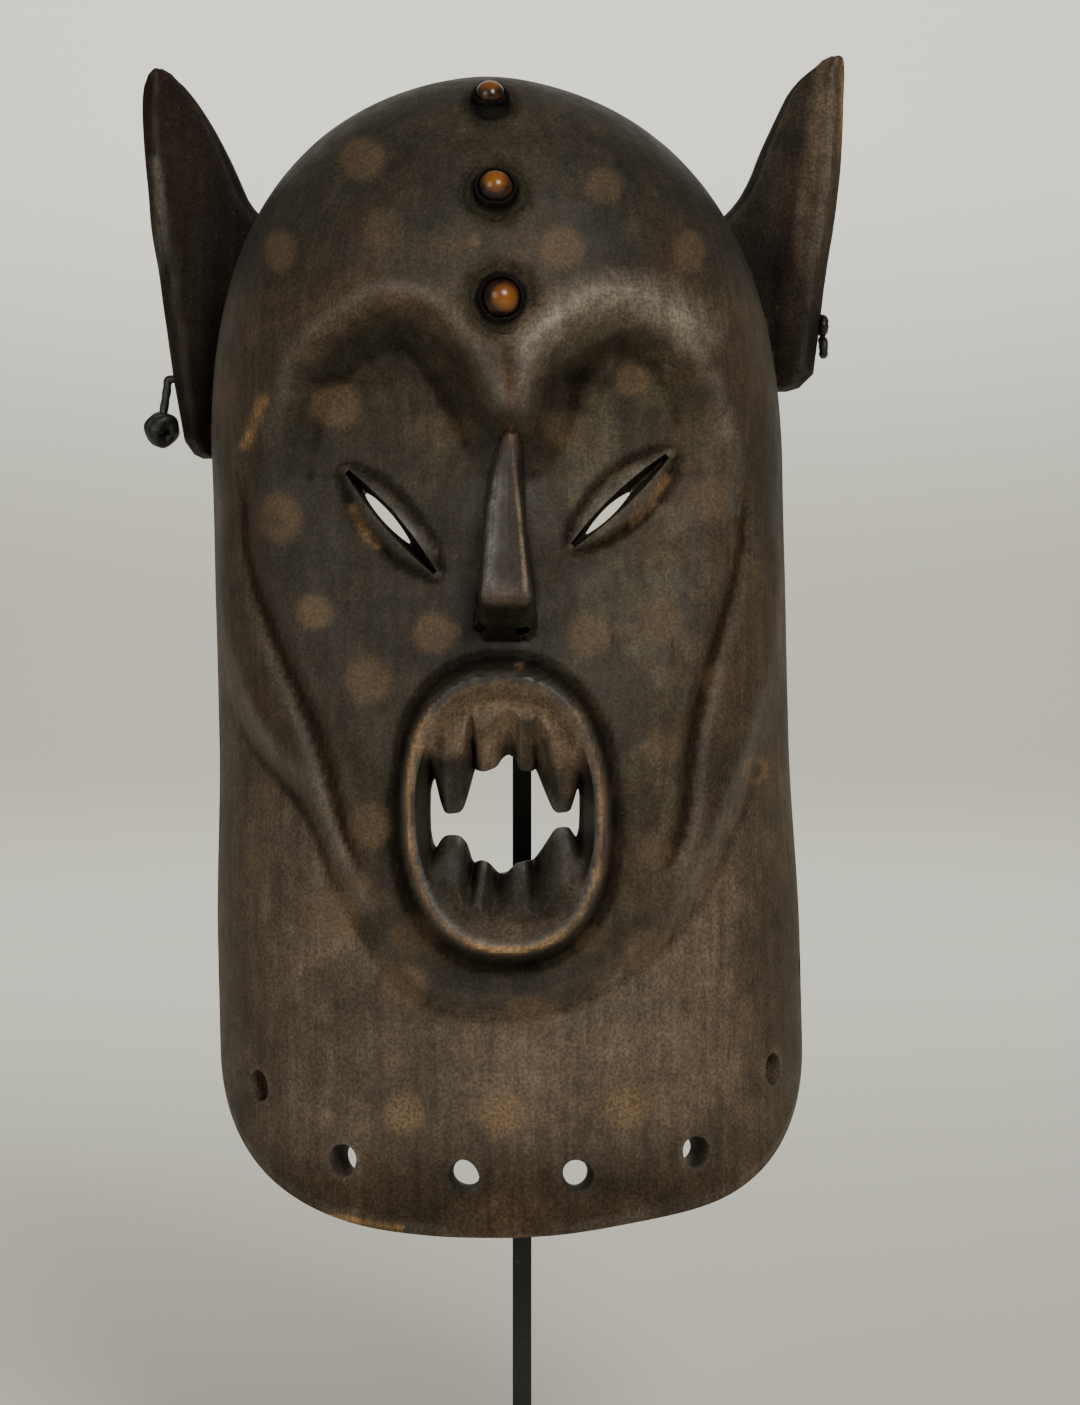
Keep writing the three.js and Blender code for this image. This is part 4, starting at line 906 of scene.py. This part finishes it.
def mesh_arrays(mesh):
    co = np.empty(len(mesh.vertices) * 3)
    mesh.vertices.foreach_get("co", co)
    normal = np.empty(len(mesh.vertices) * 3)
    mesh.vertices.foreach_get("normal", normal)
    edges = np.empty(len(mesh.edges) * 2, dtype=int)
    mesh.edges.foreach_get("vertices", edges)
    return co.reshape(-1, 3), normal.reshape(-1, 3), edges.reshape(-1, 2)


def spread(values, edges, rounds):
    """Averages values over neighbouring vertices."""
    values = np.asarray(values, dtype=float)
    count = np.bincount(edges.ravel(), minlength=len(values)) + 1.0
    for _ in range(rounds):
        total = values.copy()
        np.add.at(total, edges[:, 0], values[edges[:, 1]])
        np.add.at(total, edges[:, 1], values[edges[:, 0]])
        values = total / (count if values.ndim == 1 else count[:, None])
    return values


def paint(ob, place_seed):
    """Writes the piece's tone, spots, wear and polish, with painted highlights and painted shade, from where
    each point lies.
    """
    mesh = ob.data
    co, normal, edges = mesh_arrays(mesh)
    local = unplace(co)
    px = photo_pixels(co)
    x, h, f = local.T
    broad = spread(co, edges, 6)
    bulge = np.einsum("ij,ij->i", co - broad, normal) * 1000
    edge_wear_and_sheen = smooth(0.10, 0.55, bulge)
    creases = smooth(0.06, 0.5, -bulge)
    front = smooth(-0.1, 0.35, -normal[:, 1])
    top = MASK_HEIGHT - WALL_TOP
    in_width = half_width(h, WALL_SIDE, top) + 1.6
    reach = hollow_depth(np.clip(x, -in_width, in_width), h) + 1.7
    inner = (np.abs(x) < in_width) & (f < reach) & (h < top + 2)
    inner = inner & (normal[:, 1] > -0.25)
    big = noise(local, 34, place_seed)
    small = noise(local, 9, place_seed + 1)
    fine = noise(local, 3.5, place_seed + 2)
    tone = np.tile(np.array(BROWN), (len(co), 1))
    jaw = inside_distance(JAW_LINE, x, h)
    apron = 1 - smooth(-4, 2, jaw)
    face = smooth(0, 12, inside_distance(FACE_LINE, x, h))
    lay(tone, APRON_BROWN, apron * (0.84 + 0.16 * big))
    # painted shade on the apron's sides, where they turn away from the light
    sides = np.maximum(smooth(300, 225, px[:, 0]) * 0.5, smooth(715, 790, px[:, 0]) * 0.7)
    lay(tone, np.array(BROWN) * 0.85, apron * sides)
    lay(tone, np.array(BROWN) * 0.6, apron * blob(px, 500, 1210, 330, 75, 0.7) * 0.85)
    # soot on the forehead, with painted shade on its turned sides and a lighter middle
    forehead = (1 - smooth(265, 320, px[:, 1])) * (0.62 + 0.4 * small)
    lay(tone, SOOT_AND_SHADE, forehead * (1 - blob(px, 500, 250, 40, 60, 0.8) * 0.35))
    # sooty face, darker to the left: soot, with painted shade on the side away from the key light
    lay(tone, SOOT_AND_SHADE, face * (0.6 + 0.3 * big) * (1 - 0.45 * smooth(560, 700, px[:, 0])))
    right_side = smooth(330, 620, px[:, 0] + 0.35 * (700 - px[:, 1]))
    lay(tone, OLIVE, face * smooth(0.0, 0.7, small + 0.5 * fine) * right_side * 0.55)
    for cx, cy, rx, ry, strength in SOOT_AND_SHADE_PATCHES:
        lay(tone, SOOT_AND_SHADE, blob(px, cx, cy, rx, ry, 0.8) * strength * (0.85 + 0.3 * small))
    # worn convex edges that face forward get a painted highlight
    lay(tone, PAINTED_SHEEN, edge_wear_and_sheen * front * 0.28)
    # darker in small hollows and creases
    lay(tone, CHARRED_AND_SHADE, creases * 0.65)
    lay(tone, RUST, smooth(0.3, 0.85, big) * 0.2)
    ear = (np.abs(x) > half_width(np.minimum(h, MASK_HEIGHT), 0, MASK_HEIGHT) + 1) & (h > 250)
    paint_ears(tone, px, ear, small)
    paint_mouth(tone, px, local, normal, small, fine)
    paint_seats(tone, local)
    paint_bores(tone, local)
    for line, half, colour, strength in STROKES:
        lay(tone, colour, stroke(px, line, half, 0.9) * strength * (0.85 + 0.3 * fine) * front)
    gold_ring = blob(px, *GOLD_RING, 0.25) - blob(px, GOLD_RING[0], GOLD_RING[1], 7, 9, 0.4)
    lay(tone, GOLDEN, gold_ring * 0.35)
    lay(tone, HOLLOW_BROWN, np.where(inner, 0.9, 0))
    rear = (f < 1.2) & (normal[:, 1] > 0.6)
    lay(tone, np.array(HOLLOW_BROWN) * 0.8, np.where(rear, 0.7, 0))
    tone *= (1 + 0.11 * big + 0.17 * small + 0.17 * fine)[:, None]
    spot = np.zeros(len(co))
    for cx, cy, rx, ry, strength in SPOTS:
        spot = np.maximum(spot, blob(px, cx, cy, rx, ry, 0.3) * strength)
    spot *= np.where(inner | in_mouth(local), 0, 1) * front
    nose_shine = blob(px, 505, 500, 40, 130, 0.5) * 0.12
    polish = np.clip(0.3 - 0.3 * ear + edge_wear_and_sheen * 0.25 + nose_shine - creases * 0.4, 0, 1)
    polish *= 1 - 0.8 * smooth(1140, 1200, px[:, 1])
    for _, bead_x, bead_h, seat, _ in BEADS:
        polish *= smooth(seat, seat * 1.4, np.hypot(x - bead_x, h - bead_h) + np.where(f > 0, 0, 99))
    write_colour(mesh, "tone", tone)
    write_value(mesh, "spot", spot)
    write_value(mesh, "stipple", spot * smooth(1060, 1090, px[:, 1]))
    write_value(mesh, "polish", polish)


def in_mouth(local):
    x, h, f = local.T
    return (oval_offset(x, h) < -2.5) & (f > 60) & (h > 90) & (h < 180)


def paint_seats(tone, local):
    """Black resin round each bead, soot on its seat."""
    for _, x, h, seat, ball in BEADS:
        away = np.linalg.norm(local - (x, h, skin_at(x, h) + SEAT_HEIGHT), axis=1)
        lay(tone, np.array(SOOT_AND_SHADE) * 1.4, (1 - smooth(seat * 0.95, seat * 1.35, away)) * 0.75)
        lay(tone, CHARRED_AND_SHADE, 1 - smooth(ball + 1.2, ball + 3.2, away))


def paint_bores(tone, local):
    """Painted shade on the walls inside the lacing holes."""
    x, h, f = local.T
    for hole_x, hole_h in FRONT_HOLES:
        normal = skin_normal(hole_x, hole_h)
        along = (f - skin_at(hole_x, hole_h)) / normal.z
        away = np.hypot(x - hole_x - normal.x * along, h - hole_h)
        lay(tone, CHARRED_AND_SHADE, (1 - smooth(HOLE_RADIUS + 0.2, HOLE_RADIUS + 1.4, away)) * 0.8)
    for side, hole_f, hole_h in SIDE_HOLES:
        away = np.hypot(f - hole_f, h - hole_h) + np.where(side * x > 0, 0, 99)
        lay(tone, CHARRED_AND_SHADE, (1 - smooth(HOLE_RADIUS + 0.2, HOLE_RADIUS + 1.4, away)) * 0.8)


def paint_ears(tone, px, ear, small):
    """Brown worn outer bevels, black and grey inner sides."""
    left, right = ear & (px[:, 0] < 300), ear & (px[:, 0] > 700)
    lay(tone, np.array(BROWN) * 0.3, np.where(left, 0.9, 0))
    inward = smooth(-14, 14, px[:, 0] - 213 + (px[:, 1] - 200) * 0.1)
    lay(tone, CHARRED_AND_SHADE, np.where(left, inward, 0) * (0.7 + 0.3 * small))
    foot = smooth(14, 40, px[:, 0] - 200) * smooth(220, 290, px[:, 1])
    lay(tone, np.array(BROWN) * 0.4, np.where(left, foot, 0) * 0.7)
    lay(tone, np.array(APRON_BROWN) * 0.8, np.where(right, 0.85, 0))
    inward = smooth(8, -8, px[:, 0] - 806 - (140 - px[:, 1]) * 0.12)
    lay(tone, np.array(SOOT_AND_SHADE) * 0.6, np.where(right, inward, 0) * (0.8 + 0.2 * small))
    lay(tone, CHARRED_AND_SHADE, np.where(right, smooth(170, 330, px[:, 1]), 0) * (0.8 + 0.15 * small))


def paint_mouth(tone, px, local, normal, small, fine):
    """A worn golden rim at the right and below, painted shade in the crevice round the lips, brown gums,
    teeth that darken to their tips.
    """
    x, h, f = local.T
    away = oval_offset(x, h)
    rim = (1 - smooth(0.5, 1.7, np.abs(away + 1.3))) * (f > lip_crest(x) - 4) * (normal[:, 1] < 0.3)
    low = smooth(885, 945, px[:, 1]) * smooth(425, 470, px[:, 0])
    right_low = np.maximum(smooth(560, 585, px[:, 0]), low)
    lay(tone, (0.022, 0.018, 0.014), rim * 0.85)
    lay(tone, GOLDEN, rim * right_low * (0.42 + 0.4 * small + 0.25 * fine))
    lay(tone, np.array(GOLDEN) * 0.78, rim * blob(px, 508, 950, 50, 20, 0.4) * 0.8)
    lay(tone, np.array(GOLDEN) * 0.6, rim * smooth(445, 418, px[:, 0]) * smooth(680, 730, px[:, 1]) * 0.85)
    # painted shade in the crevice just outside the lips
    lay(tone, CHARRED_AND_SHADE, (1 - smooth(0.8, 2.4, np.abs(away - 2.6))) * 0.5)
    inside = np.where(in_mouth(local), 1.0, 0.0)
    lay(tone, TOOTH, inside)
    lay(tone, GUM, inside * smooth(152, 159, h + 2.5 * small + 5 * (x > -10)) * 0.95)
    lay(tone, np.array(GUM) * 0.62, inside * smooth(106, 96, h + 2.5 * small) * 0.85)
    lay(tone, CHARRED_AND_SHADE, inside * smooth(lip_crest(x) - 10.5, lip_crest(x) - 15, f) * 0.92)


def write_colour(mesh, name, values):
    layer = mesh.attributes.new(name, "FLOAT_COLOR", "POINT")
    rgba = np.ones((len(values), 4), dtype=np.float32)
    rgba[:, :3] = np.clip(values, 0, 1)
    layer.data.foreach_set("color", rgba.ravel())


def write_value(mesh, name, values):
    layer = mesh.attributes.new(name, "FLOAT", "POINT")
    layer.data.foreach_set("value", np.asarray(values, dtype=np.float32))


class Nodes:
    """Short calls for building a material's nodes."""

    def __init__(self, name):
        self.material = bpy.data.materials.new(name)
        self.material.use_nodes = True
        self.tree = self.material.node_tree
        self.tree.nodes.clear()
        self.shader = self.tree.nodes.new("ShaderNodeBsdfPrincipled")
        out = self.tree.nodes.new("ShaderNodeOutputMaterial")
        self.link(self.shader.outputs[0], out.inputs["Surface"])
        self.place = self.tree.nodes.new("ShaderNodeTexCoord").outputs["Object"]

    def link(self, source, target):
        self.tree.links.new(source, target)

    def feed(self, socket, value):
        if isinstance(value, bpy.types.NodeSocket):
            self.link(value, socket)
        elif isinstance(value, (tuple, list)) and len(value) == 3 and socket.type == "RGBA":
            socket.default_value = (*value, 1)
        else:
            socket.default_value = value

    def attribute(self, name, output):
        node = self.tree.nodes.new("ShaderNodeAttribute")
        node.attribute_name = name
        return node.outputs[output]

    def noise(self, scale, detail=4, roughness=0.6, stretch=(1, 1, 1), distortion=0.0):
        node = self.tree.nodes.new("ShaderNodeTexNoise")
        mapping = self.tree.nodes.new("ShaderNodeMapping")
        mapping.inputs["Scale"].default_value = stretch
        self.link(self.place, mapping.inputs["Vector"])
        self.link(mapping.outputs[0], node.inputs["Vector"])
        node.inputs["Scale"].default_value = scale
        node.inputs["Detail"].default_value = detail
        node.inputs["Roughness"].default_value = roughness
        node.inputs["Distortion"].default_value = distortion
        return node.outputs["Fac"]

    def ramp(self, value, low, high, to_low=0.0, to_high=1.0):
        node = self.tree.nodes.new("ShaderNodeMapRange")
        node.interpolation_type = "SMOOTHSTEP"
        self.feed(node.inputs[0], value)
        for socket, number in zip(node.inputs[1:5], (low, high, to_low, to_high)):
            socket.default_value = number
        return node.outputs[0]

    def math(self, operation, a, b=0.0):
        node = self.tree.nodes.new("ShaderNodeMath")
        node.operation = operation
        self.feed(node.inputs[0], a)
        self.feed(node.inputs[1], b)
        return node.outputs[0]

    def mix(self, factor, a, b, blend="MIX"):
        node = self.tree.nodes.new("ShaderNodeMix")
        node.data_type = "RGBA"
        node.blend_type = blend
        self.feed(node.inputs["Factor"], factor)
        self.feed(node.inputs[6], a)
        self.feed(node.inputs[7], b)
        return node.outputs[2]

    def grey(self, value):
        node = self.tree.nodes.new("ShaderNodeCombineColor")
        for socket in node.inputs:
            self.feed(socket, value)
        return node.outputs[0]

    def bump(self, height, strength, distance, normal=None):
        node = self.tree.nodes.new("ShaderNodeBump")
        node.inputs["Strength"].default_value = strength
        node.inputs["Distance"].default_value = distance
        self.feed(node.inputs["Height"], height)
        if normal is not None:
            self.link(normal, node.inputs["Normal"])
        return node.outputs[0]

    def finish(self, colour, roughness, normal=None, **values):
        self.feed(self.shader.inputs["Base Color"], colour)
        self.feed(self.shader.inputs["Roughness"], roughness)
        if normal is not None:
            self.link(normal, self.shader.inputs["Normal"])
        for name, value in values.items():
            self.feed(self.shader.inputs[name.replace("_", " ")], value)
        return self.material


def wood_material():
    """Dark patinated wood: mottled soot and grain, stippled pale spots, pores and fine cracks."""
    n = Nodes("patinated_wood")
    grain = n.noise(420, 5, 0.62, (1, 1, 0.12), 0.4)
    pores = n.noise(1300, 3, 0.6, (1, 1, 0.2))
    cloud = n.noise(28, 5, 0.62)
    streak = n.noise(260, 4, 0.6, (1, 1, 0.05))
    mottle = n.noise(120, 6, 0.72)
    speck = n.noise(950, 4, 0.74)
    crack = n.math("MULTIPLY", n.ramp(grain, 0.66, 0.72), n.ramp(cloud, 0.52, 0.62))
    tone = n.attribute("tone", "Color")
    shade = n.math("MULTIPLY", n.ramp(grain, 0.3, 0.72, 1.12, 0.84), n.ramp(mottle, 0.3, 0.72, 0.85, 1.16))
    shade = n.math("MULTIPLY", shade, n.ramp(speck, 0.36, 0.66, 0.66, 1.4))
    shade = n.math("MULTIPLY", shade, n.ramp(cloud, 0.34, 0.66, 0.82, 1.18))
    shade = n.math("MULTIPLY", shade, n.ramp(streak, 0.3, 0.7, 1.14, 0.86))
    colour = n.mix(1.0, tone, n.grey(shade), "MULTIPLY")
    stipple = n.ramp(n.noise(900, 2, 0.55), 0.44, 0.58)
    dotted = n.math("MULTIPLY", n.attribute("stipple", "Fac"), stipple)
    field = n.math("MULTIPLY", n.attribute("spot", "Fac"), n.ramp(mottle, 0.3, 0.65, 0.45, 0.8))
    spot_colour = n.mix(n.ramp(speck, 0.35, 0.7), (0.070, 0.044, 0.024), (0.122, 0.081, 0.044))
    colour = n.mix(field, colour, spot_colour)
    colour = n.mix(n.math("MULTIPLY", dotted, 0.42), colour, (0.20, 0.125, 0.064))
    colour = n.mix(n.math("MULTIPLY", crack, 0.55), colour, (0.006, 0.005, 0.004))
    dust = n.ramp(n.noise(800, 2, 0.5), 0.68, 0.74)
    colour = n.mix(n.math("MULTIPLY", dust, 0.16), colour, (0.12, 0.098, 0.068))
    polish = n.attribute("polish", "Fac")
    rough = n.math("SUBTRACT", n.ramp(mottle, 0.3, 0.7, 0.58, 0.74), n.math("MULTIPLY", polish, 0.26))
    rough = n.math("ADD", rough, n.math("MULTIPLY", field, 0.12))
    height = n.math("ADD", n.math("MULTIPLY", speck, 0.5), n.math("MULTIPLY", pores, 0.3))
    height = n.math("SUBTRACT", height, n.math("MULTIPLY", crack, 0.6))
    height = n.math("ADD", height, n.math("MULTIPLY", dotted, -0.5))
    normal = n.bump(height, 0.5, 0.0003)
    normal = n.bump(mottle, 0.45, 0.0008, normal)
    shine = n.ramp(polish, 0.0, 0.9, 0.05, 0.55)
    return n.finish(colour, rough, normal, Specular_IOR_Level=shine)


def amber_material(painted_glow_side):
    """Amber glass: red-black at the rim, with a painted glow on the side where light gathers inside."""
    n = Nodes("amber_glass")
    swirl = n.noise(260, 3, 0.55)
    geometry = n.tree.nodes.new("ShaderNodeNewGeometry")
    toward = n.tree.nodes.new("ShaderNodeVectorMath")
    toward.operation = "DOT_PRODUCT"
    n.link(geometry.outputs["Normal"], toward.inputs[0])
    toward.inputs[1].default_value = painted_glow_side
    # painted glow: lighter colour where the surface faces the glow side
    glow = n.ramp(toward.outputs["Value"], 0.55, 1.04)
    colour = n.mix(glow, (0.007, 0.002, 0.001), (0.17, 0.058, 0.005))
    colour = n.mix(n.ramp(swirl, 0.45, 0.7, 0.0, 0.5), colour, (0.09, 0.026, 0.006))
    normal = n.bump(n.noise(180, 2, 0.5), 0.25, 0.0005)
    return n.finish(colour, 0.24, normal, IOR=1.4)


def leather_material():
    """Black leather cord, greased and worn shiny."""
    n = Nodes("black_leather")
    grain = n.noise(1500, 4, 0.6)
    wear = n.noise(300, 3, 0.6)
    colour = n.mix(n.ramp(wear, 0.5, 0.75), (0.005, 0.0045, 0.004), (0.020, 0.016, 0.013))
    normal = n.bump(grain, 0.5, 0.00025)
    return n.finish(colour, n.ramp(wear, 0.3, 0.7, 0.34, 0.56), normal, Specular_IOR_Level=0.4)


def steel_material():
    """Square steel painted satin black, with small pale chips and dust."""
    n = Nodes("black_steel")
    chips = n.ramp(n.noise(420, 3, 0.65), 0.71, 0.74)
    smear = n.noise(60, 4, 0.6, (1, 1, 0.3))
    colour = n.mix(n.ramp(smear, 0.35, 0.7), (0.006, 0.006, 0.007), (0.016, 0.015, 0.016))
    colour = n.mix(n.math("MULTIPLY", chips, 0.5), colour, (0.16, 0.15, 0.14))
    normal = n.bump(n.noise(900, 3, 0.5), 0.25, 0.0002)
    return n.finish(colour, n.ramp(smear, 0.3, 0.7, 0.34, 0.52), normal, Metallic=0.3)


def backdrop_material():
    """Pale plaster, with painted shade where the floor curves up and painted light that makes it lighter
    towards the top.
    """
    n = Nodes("pale_backdrop")
    split = n.tree.nodes.new("ShaderNodeSeparateXYZ")
    n.link(n.place, split.inputs[0])
    up = split.outputs["Z"]
    colour = n.mix(n.ramp(up, 0.0, 0.22), (0.66, 0.65, 0.565), (0.50, 0.495, 0.42))
    colour = n.mix(n.ramp(up, 0.4, 1.25), colour, (0.93, 0.925, 0.84))
    colour = n.mix(n.ramp(n.noise(0.8, 2, 0.5), 0.3, 0.7, 0.0, 0.06), colour, (0.40, 0.39, 0.34))
    return n.finish(colour, 0.9)


def bead_object(bead):
    name, x, h, _, _ = bead
    return turned_object("glass_" + name, x, h, ball_profile(bead, -0.02, 40), 56, 0.004)


def cord_rings(path, radius, sides, ridge=0.0, turns=0.0):
    """Rings of a cord along points in x, h, f; ridge and turns give it a twist."""
    path = np.asarray(path, dtype=float)
    tangents = np.gradient(path, axis=0)
    tangents /= np.linalg.norm(tangents, axis=1, keepdims=True)
    side = np.cross(tangents[0], (0.1, 0.2, 1.0))
    rings = []
    for i, (p, t) in enumerate(zip(path, tangents)):
        side = side - t * np.dot(side, t)
        side /= np.linalg.norm(side)
        up = np.cross(t, side)
        a = 2 * np.pi * np.arange(sides) / sides
        r = radius[i] * (1 + ridge * np.cos(2 * a + turns * 2 * np.pi * i / len(path)))
        rings.append(p + np.cos(a)[:, None] * side * r[:, None] + np.sin(a)[:, None] * up * r[:, None])
    return rings


def curve_points(points, count):
    """A smooth run of points through a few."""
    p = np.array([points[0]] + list(points) + [points[-1]], dtype=float)
    out = []
    for t in np.linspace(0, len(points) - 1, count):
        i = min(int(t), len(points) - 2)
        u = t - i
        p0, p1, p2, p3 = p[i:i + 4]
        out.append(0.5 * (2 * p1 + (p2 - p0) * u + (2 * p0 - 5 * p1 + 4 * p2 - p3) * u * u
                          + (3 * p1 - p0 - 3 * p2 + p3) * u ** 3))
    return np.array(out)


def wound_knot(centre, size, rope, turns, seed):
    """A fat knot: one strand wound round and over itself."""
    t = np.linspace(0, 2 * np.pi * turns, 150)
    drift = np.linspace(-1, 1, 150)
    local = np.stack([
        (size + 0.5 * np.cos(2.7 * t + seed)) * np.cos(t), (size + 0.5 * np.sin(1.9 * t)) * np.sin(t),
        drift * rope * 1.1 + 0.8 * np.sin(1.5 * t + seed),
    ], axis=-1)
    turn = np.array(Euler((0.45, 0.5, 0.3)).to_matrix())
    return np.asarray(centre) + local @ turn.T


def thong_object(name, path, rope, knots):
    """The cord and its knots as one joined mesh."""
    radius = np.full(len(path), THONG_RADIUS)
    ob = ring_object(name, cord_rings(path, radius, 14, 0.06, 5))
    for centre, size, turns, seed in knots:
        points = wound_knot(centre, size, rope, turns, seed)
        taper = np.interp(np.linspace(0, 1, len(points)), [0, 0.05, 0.95, 1], [0.6, 1, 1, 0.5]) * rope
        boolean(ob, ring_object("turn", cord_rings(points, taper, 12, 0.05, 9)), "UNION")
    return ob


def left_thong():
    top, low = LEFT_THONG_HEIGHT, LEFT_THONG_HEIGHT - LEFT_THONG_DROP
    edge = float(table_at(LEFT_EAR, top, 1))
    knot = float(table_at(LEFT_EAR, low, 1)) + KNOT_ROPE + KNOT_RADIUS + 2 * FIT_GAP
    path = curve_points([
        (-(edge - THONG_HOLE_DEPTH + 1), top, THONG_DEPTH), (-(edge - 2), top, THONG_DEPTH),
        (-(edge + 1.8), top, THONG_DEPTH), (-(edge + 2.6), top - 3.5, THONG_DEPTH),
        (-(edge + 3.4), top - 8, THONG_DEPTH), (-knot, low + KNOT_RADIUS, THONG_DEPTH),
    ], 60)
    return thong_object("leather_left_thong", path, KNOT_ROPE,
                        [((-knot, low, THONG_DEPTH), KNOT_RADIUS * 0.88, 2.6, 0.4)])


def right_thong():
    """The cord's stub and two narrow loops of it that lie against the ear's edge."""
    top = RIGHT_THONG_HEIGHT
    edge = float(table_at(RIGHT_EAR, top, 1))
    apart = 2 * (LOOP_RADIUS + LOOP_ROPE) - 0.4
    out = max(edge, float(table_at(RIGHT_EAR, top - apart, 1))) + LOOP_ROPE - 0.2
    path = curve_points([
        (edge - THONG_HOLE_DEPTH + 1, top, THONG_DEPTH), (edge - 2, top, THONG_DEPTH),
        (edge + THONG_RADIUS + FIT_GAP, top, THONG_DEPTH),
        (out + 0.4, top - LOOP_RADIUS * 0.5, THONG_DEPTH),
        (out + 0.3, top - LOOP_RADIUS, THONG_DEPTH),
    ], 50)
    radius = np.full(len(path), THONG_RADIUS * 0.95)
    ob = ring_object("leather_right_thong", cord_rings(path, radius, 14, 0.06, 4))
    for number in (0, 1):
        t = np.linspace(0, 2 * np.pi * 1.15, 90) + 0.8 * number
        points = np.stack([
            out + 0.25 * np.sin(1.6 * t + number), top - apart * number + LOOP_RADIUS * np.cos(t),
            THONG_DEPTH + LOOP_RADIUS * (1 + 0.06 * number) * np.sin(t),
        ], axis=-1)
        rope = np.interp(np.linspace(0, 1, 90), [0, 0.06, 0.94, 1], [0.6, 1, 1, 0.5]) * LOOP_ROPE
        boolean(ob, ring_object("loop", cord_rings(points, rope, 12, 0.07, 7)), "UNION")
    return ob


def dress(ob, material, nodes, smooth_angle=None):
    """Gives a new piece its material and its body, and hides the CAD nodes that it stands for."""
    ob.data.materials.clear()
    ob.data.materials.append(material)
    ob.data.polygons.foreach_set("use_smooth", [True] * len(ob.data.polygons))
    if smooth_angle is not None:
        ob.data.set_sharp_from_angle(angle=math.radians(smooth_angle))
    ob.data.update()
    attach(ob, "root")
    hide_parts(*nodes)


def dress_cad(name, material):
    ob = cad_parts[name]
    ob.data.materials.clear()
    ob.data.materials.append(material)


def build_mask():
    mask = carved_mask()
    paint(mask, 61)
    dress(mask, wood_material(), ["mask"], 42)


def build_beads():
    for bead, lean in zip(BEADS, GLOW_LEAN):
        painted_glow_side = Vector((lean[0], -1, lean[1])).normalized()
        dress(bead_object(bead), amber_material(tuple(painted_glow_side)), [bead[0]])


def build_thongs():
    leather = leather_material()
    dress(left_thong(), leather, ["left_ear_thong"])
    dress(right_thong(), leather, ["right_ear_thong"])


def build_stand():
    steel = steel_material()
    for name in ("stand_rod", "stand_base"):
        dress_cad(name, steel)


def build_stage():
    """A pale floor that curves up into a backdrop far behind the mask."""
    width, flat, radius, top = 6.0, 2.6, 1.5, 4.2
    profile = [(-4.0, 0.0), (flat, 0.0)]
    for i in range(1, 25):
        a = math.pi / 2 * i / 24
        profile.append((flat + radius * math.sin(a), radius * (1 - math.cos(a))))
    profile.append((flat + radius, top))
    points = [(side * width / 2, y, z) for y, z in profile for side in (-1, 1)]
    faces = [(2 * i, 2 * i + 1, 2 * i + 3, 2 * i + 2) for i in range(len(profile) - 1)]
    mesh = bpy.data.meshes.new("backdrop")
    mesh.from_pydata(points, [], faces)
    mesh.polygons.foreach_set("use_smooth", [True] * len(mesh.polygons))
    ob = bpy.data.objects.new("backdrop", mesh)
    bpy.context.scene.collection.objects.link(ob)
    mesh.materials.append(backdrop_material())


def area_light(name, place_at, aim, size, power, colour):
    light = bpy.data.lights.new(name, "AREA")
    light.shape = "RECTANGLE"
    light.size, light.size_y = size
    light.energy = power
    light.color = colour
    ob = bpy.data.objects.new(name, light)
    ob.location = place_at
    ob.rotation_euler = (Vector(aim) - Vector(place_at)).to_track_quat("-Z", "Y").to_euler()
    bpy.context.scene.collection.objects.link(ob)


def build_lights():
    middle = (0, 0, 0.3)
    area_light("key_right", (0.55, -1.5, 1.15), middle, (0.6, 0.6), 29, (1.0, 0.97, 0.91))
    area_light("fill_left", (-1.0, -1.3, 0.7), middle, (0.8, 0.8), 9, (1.0, 0.99, 0.95))
    area_light("wall_wash", (0, 1.2, 3.2), (0, 3.8, 1.9), (3.0, 1.0), 146, (1.0, 1.0, 0.97))
    world = bpy.data.worlds.new("soft_room")
    world.use_nodes = True
    world.node_tree.nodes["Background"].inputs[0].default_value = (1.0, 0.99, 0.95, 1)
    world.node_tree.nodes["Background"].inputs[1].default_value = 0.24
    bpy.context.scene.world = world


def build_camera():
    data = bpy.data.cameras.new("photo_view")
    data.sensor_width = 36.0
    data.lens = 36.0 * PIXELS_PER_SLOPE / PHOTO_WIDTH
    # the sensor width is the long side's in an upright picture
    data.sensor_fit = "HORIZONTAL"
    data.clip_end = 30
    ob = bpy.data.objects.new("photo_view", data)
    ob.location = (EYE_X / 1000, (ROD_FORWARD - EYE_DISTANCE) / 1000, EYE_Z / 1000)
    ob.rotation_euler = (math.pi / 2, 0, 0)
    bpy.context.scene.collection.objects.link(ob)
    bpy.context.scene.camera = ob


build_camera()
build_mask()
build_beads()
build_thongs()
build_stand()
build_stage()
build_lights()
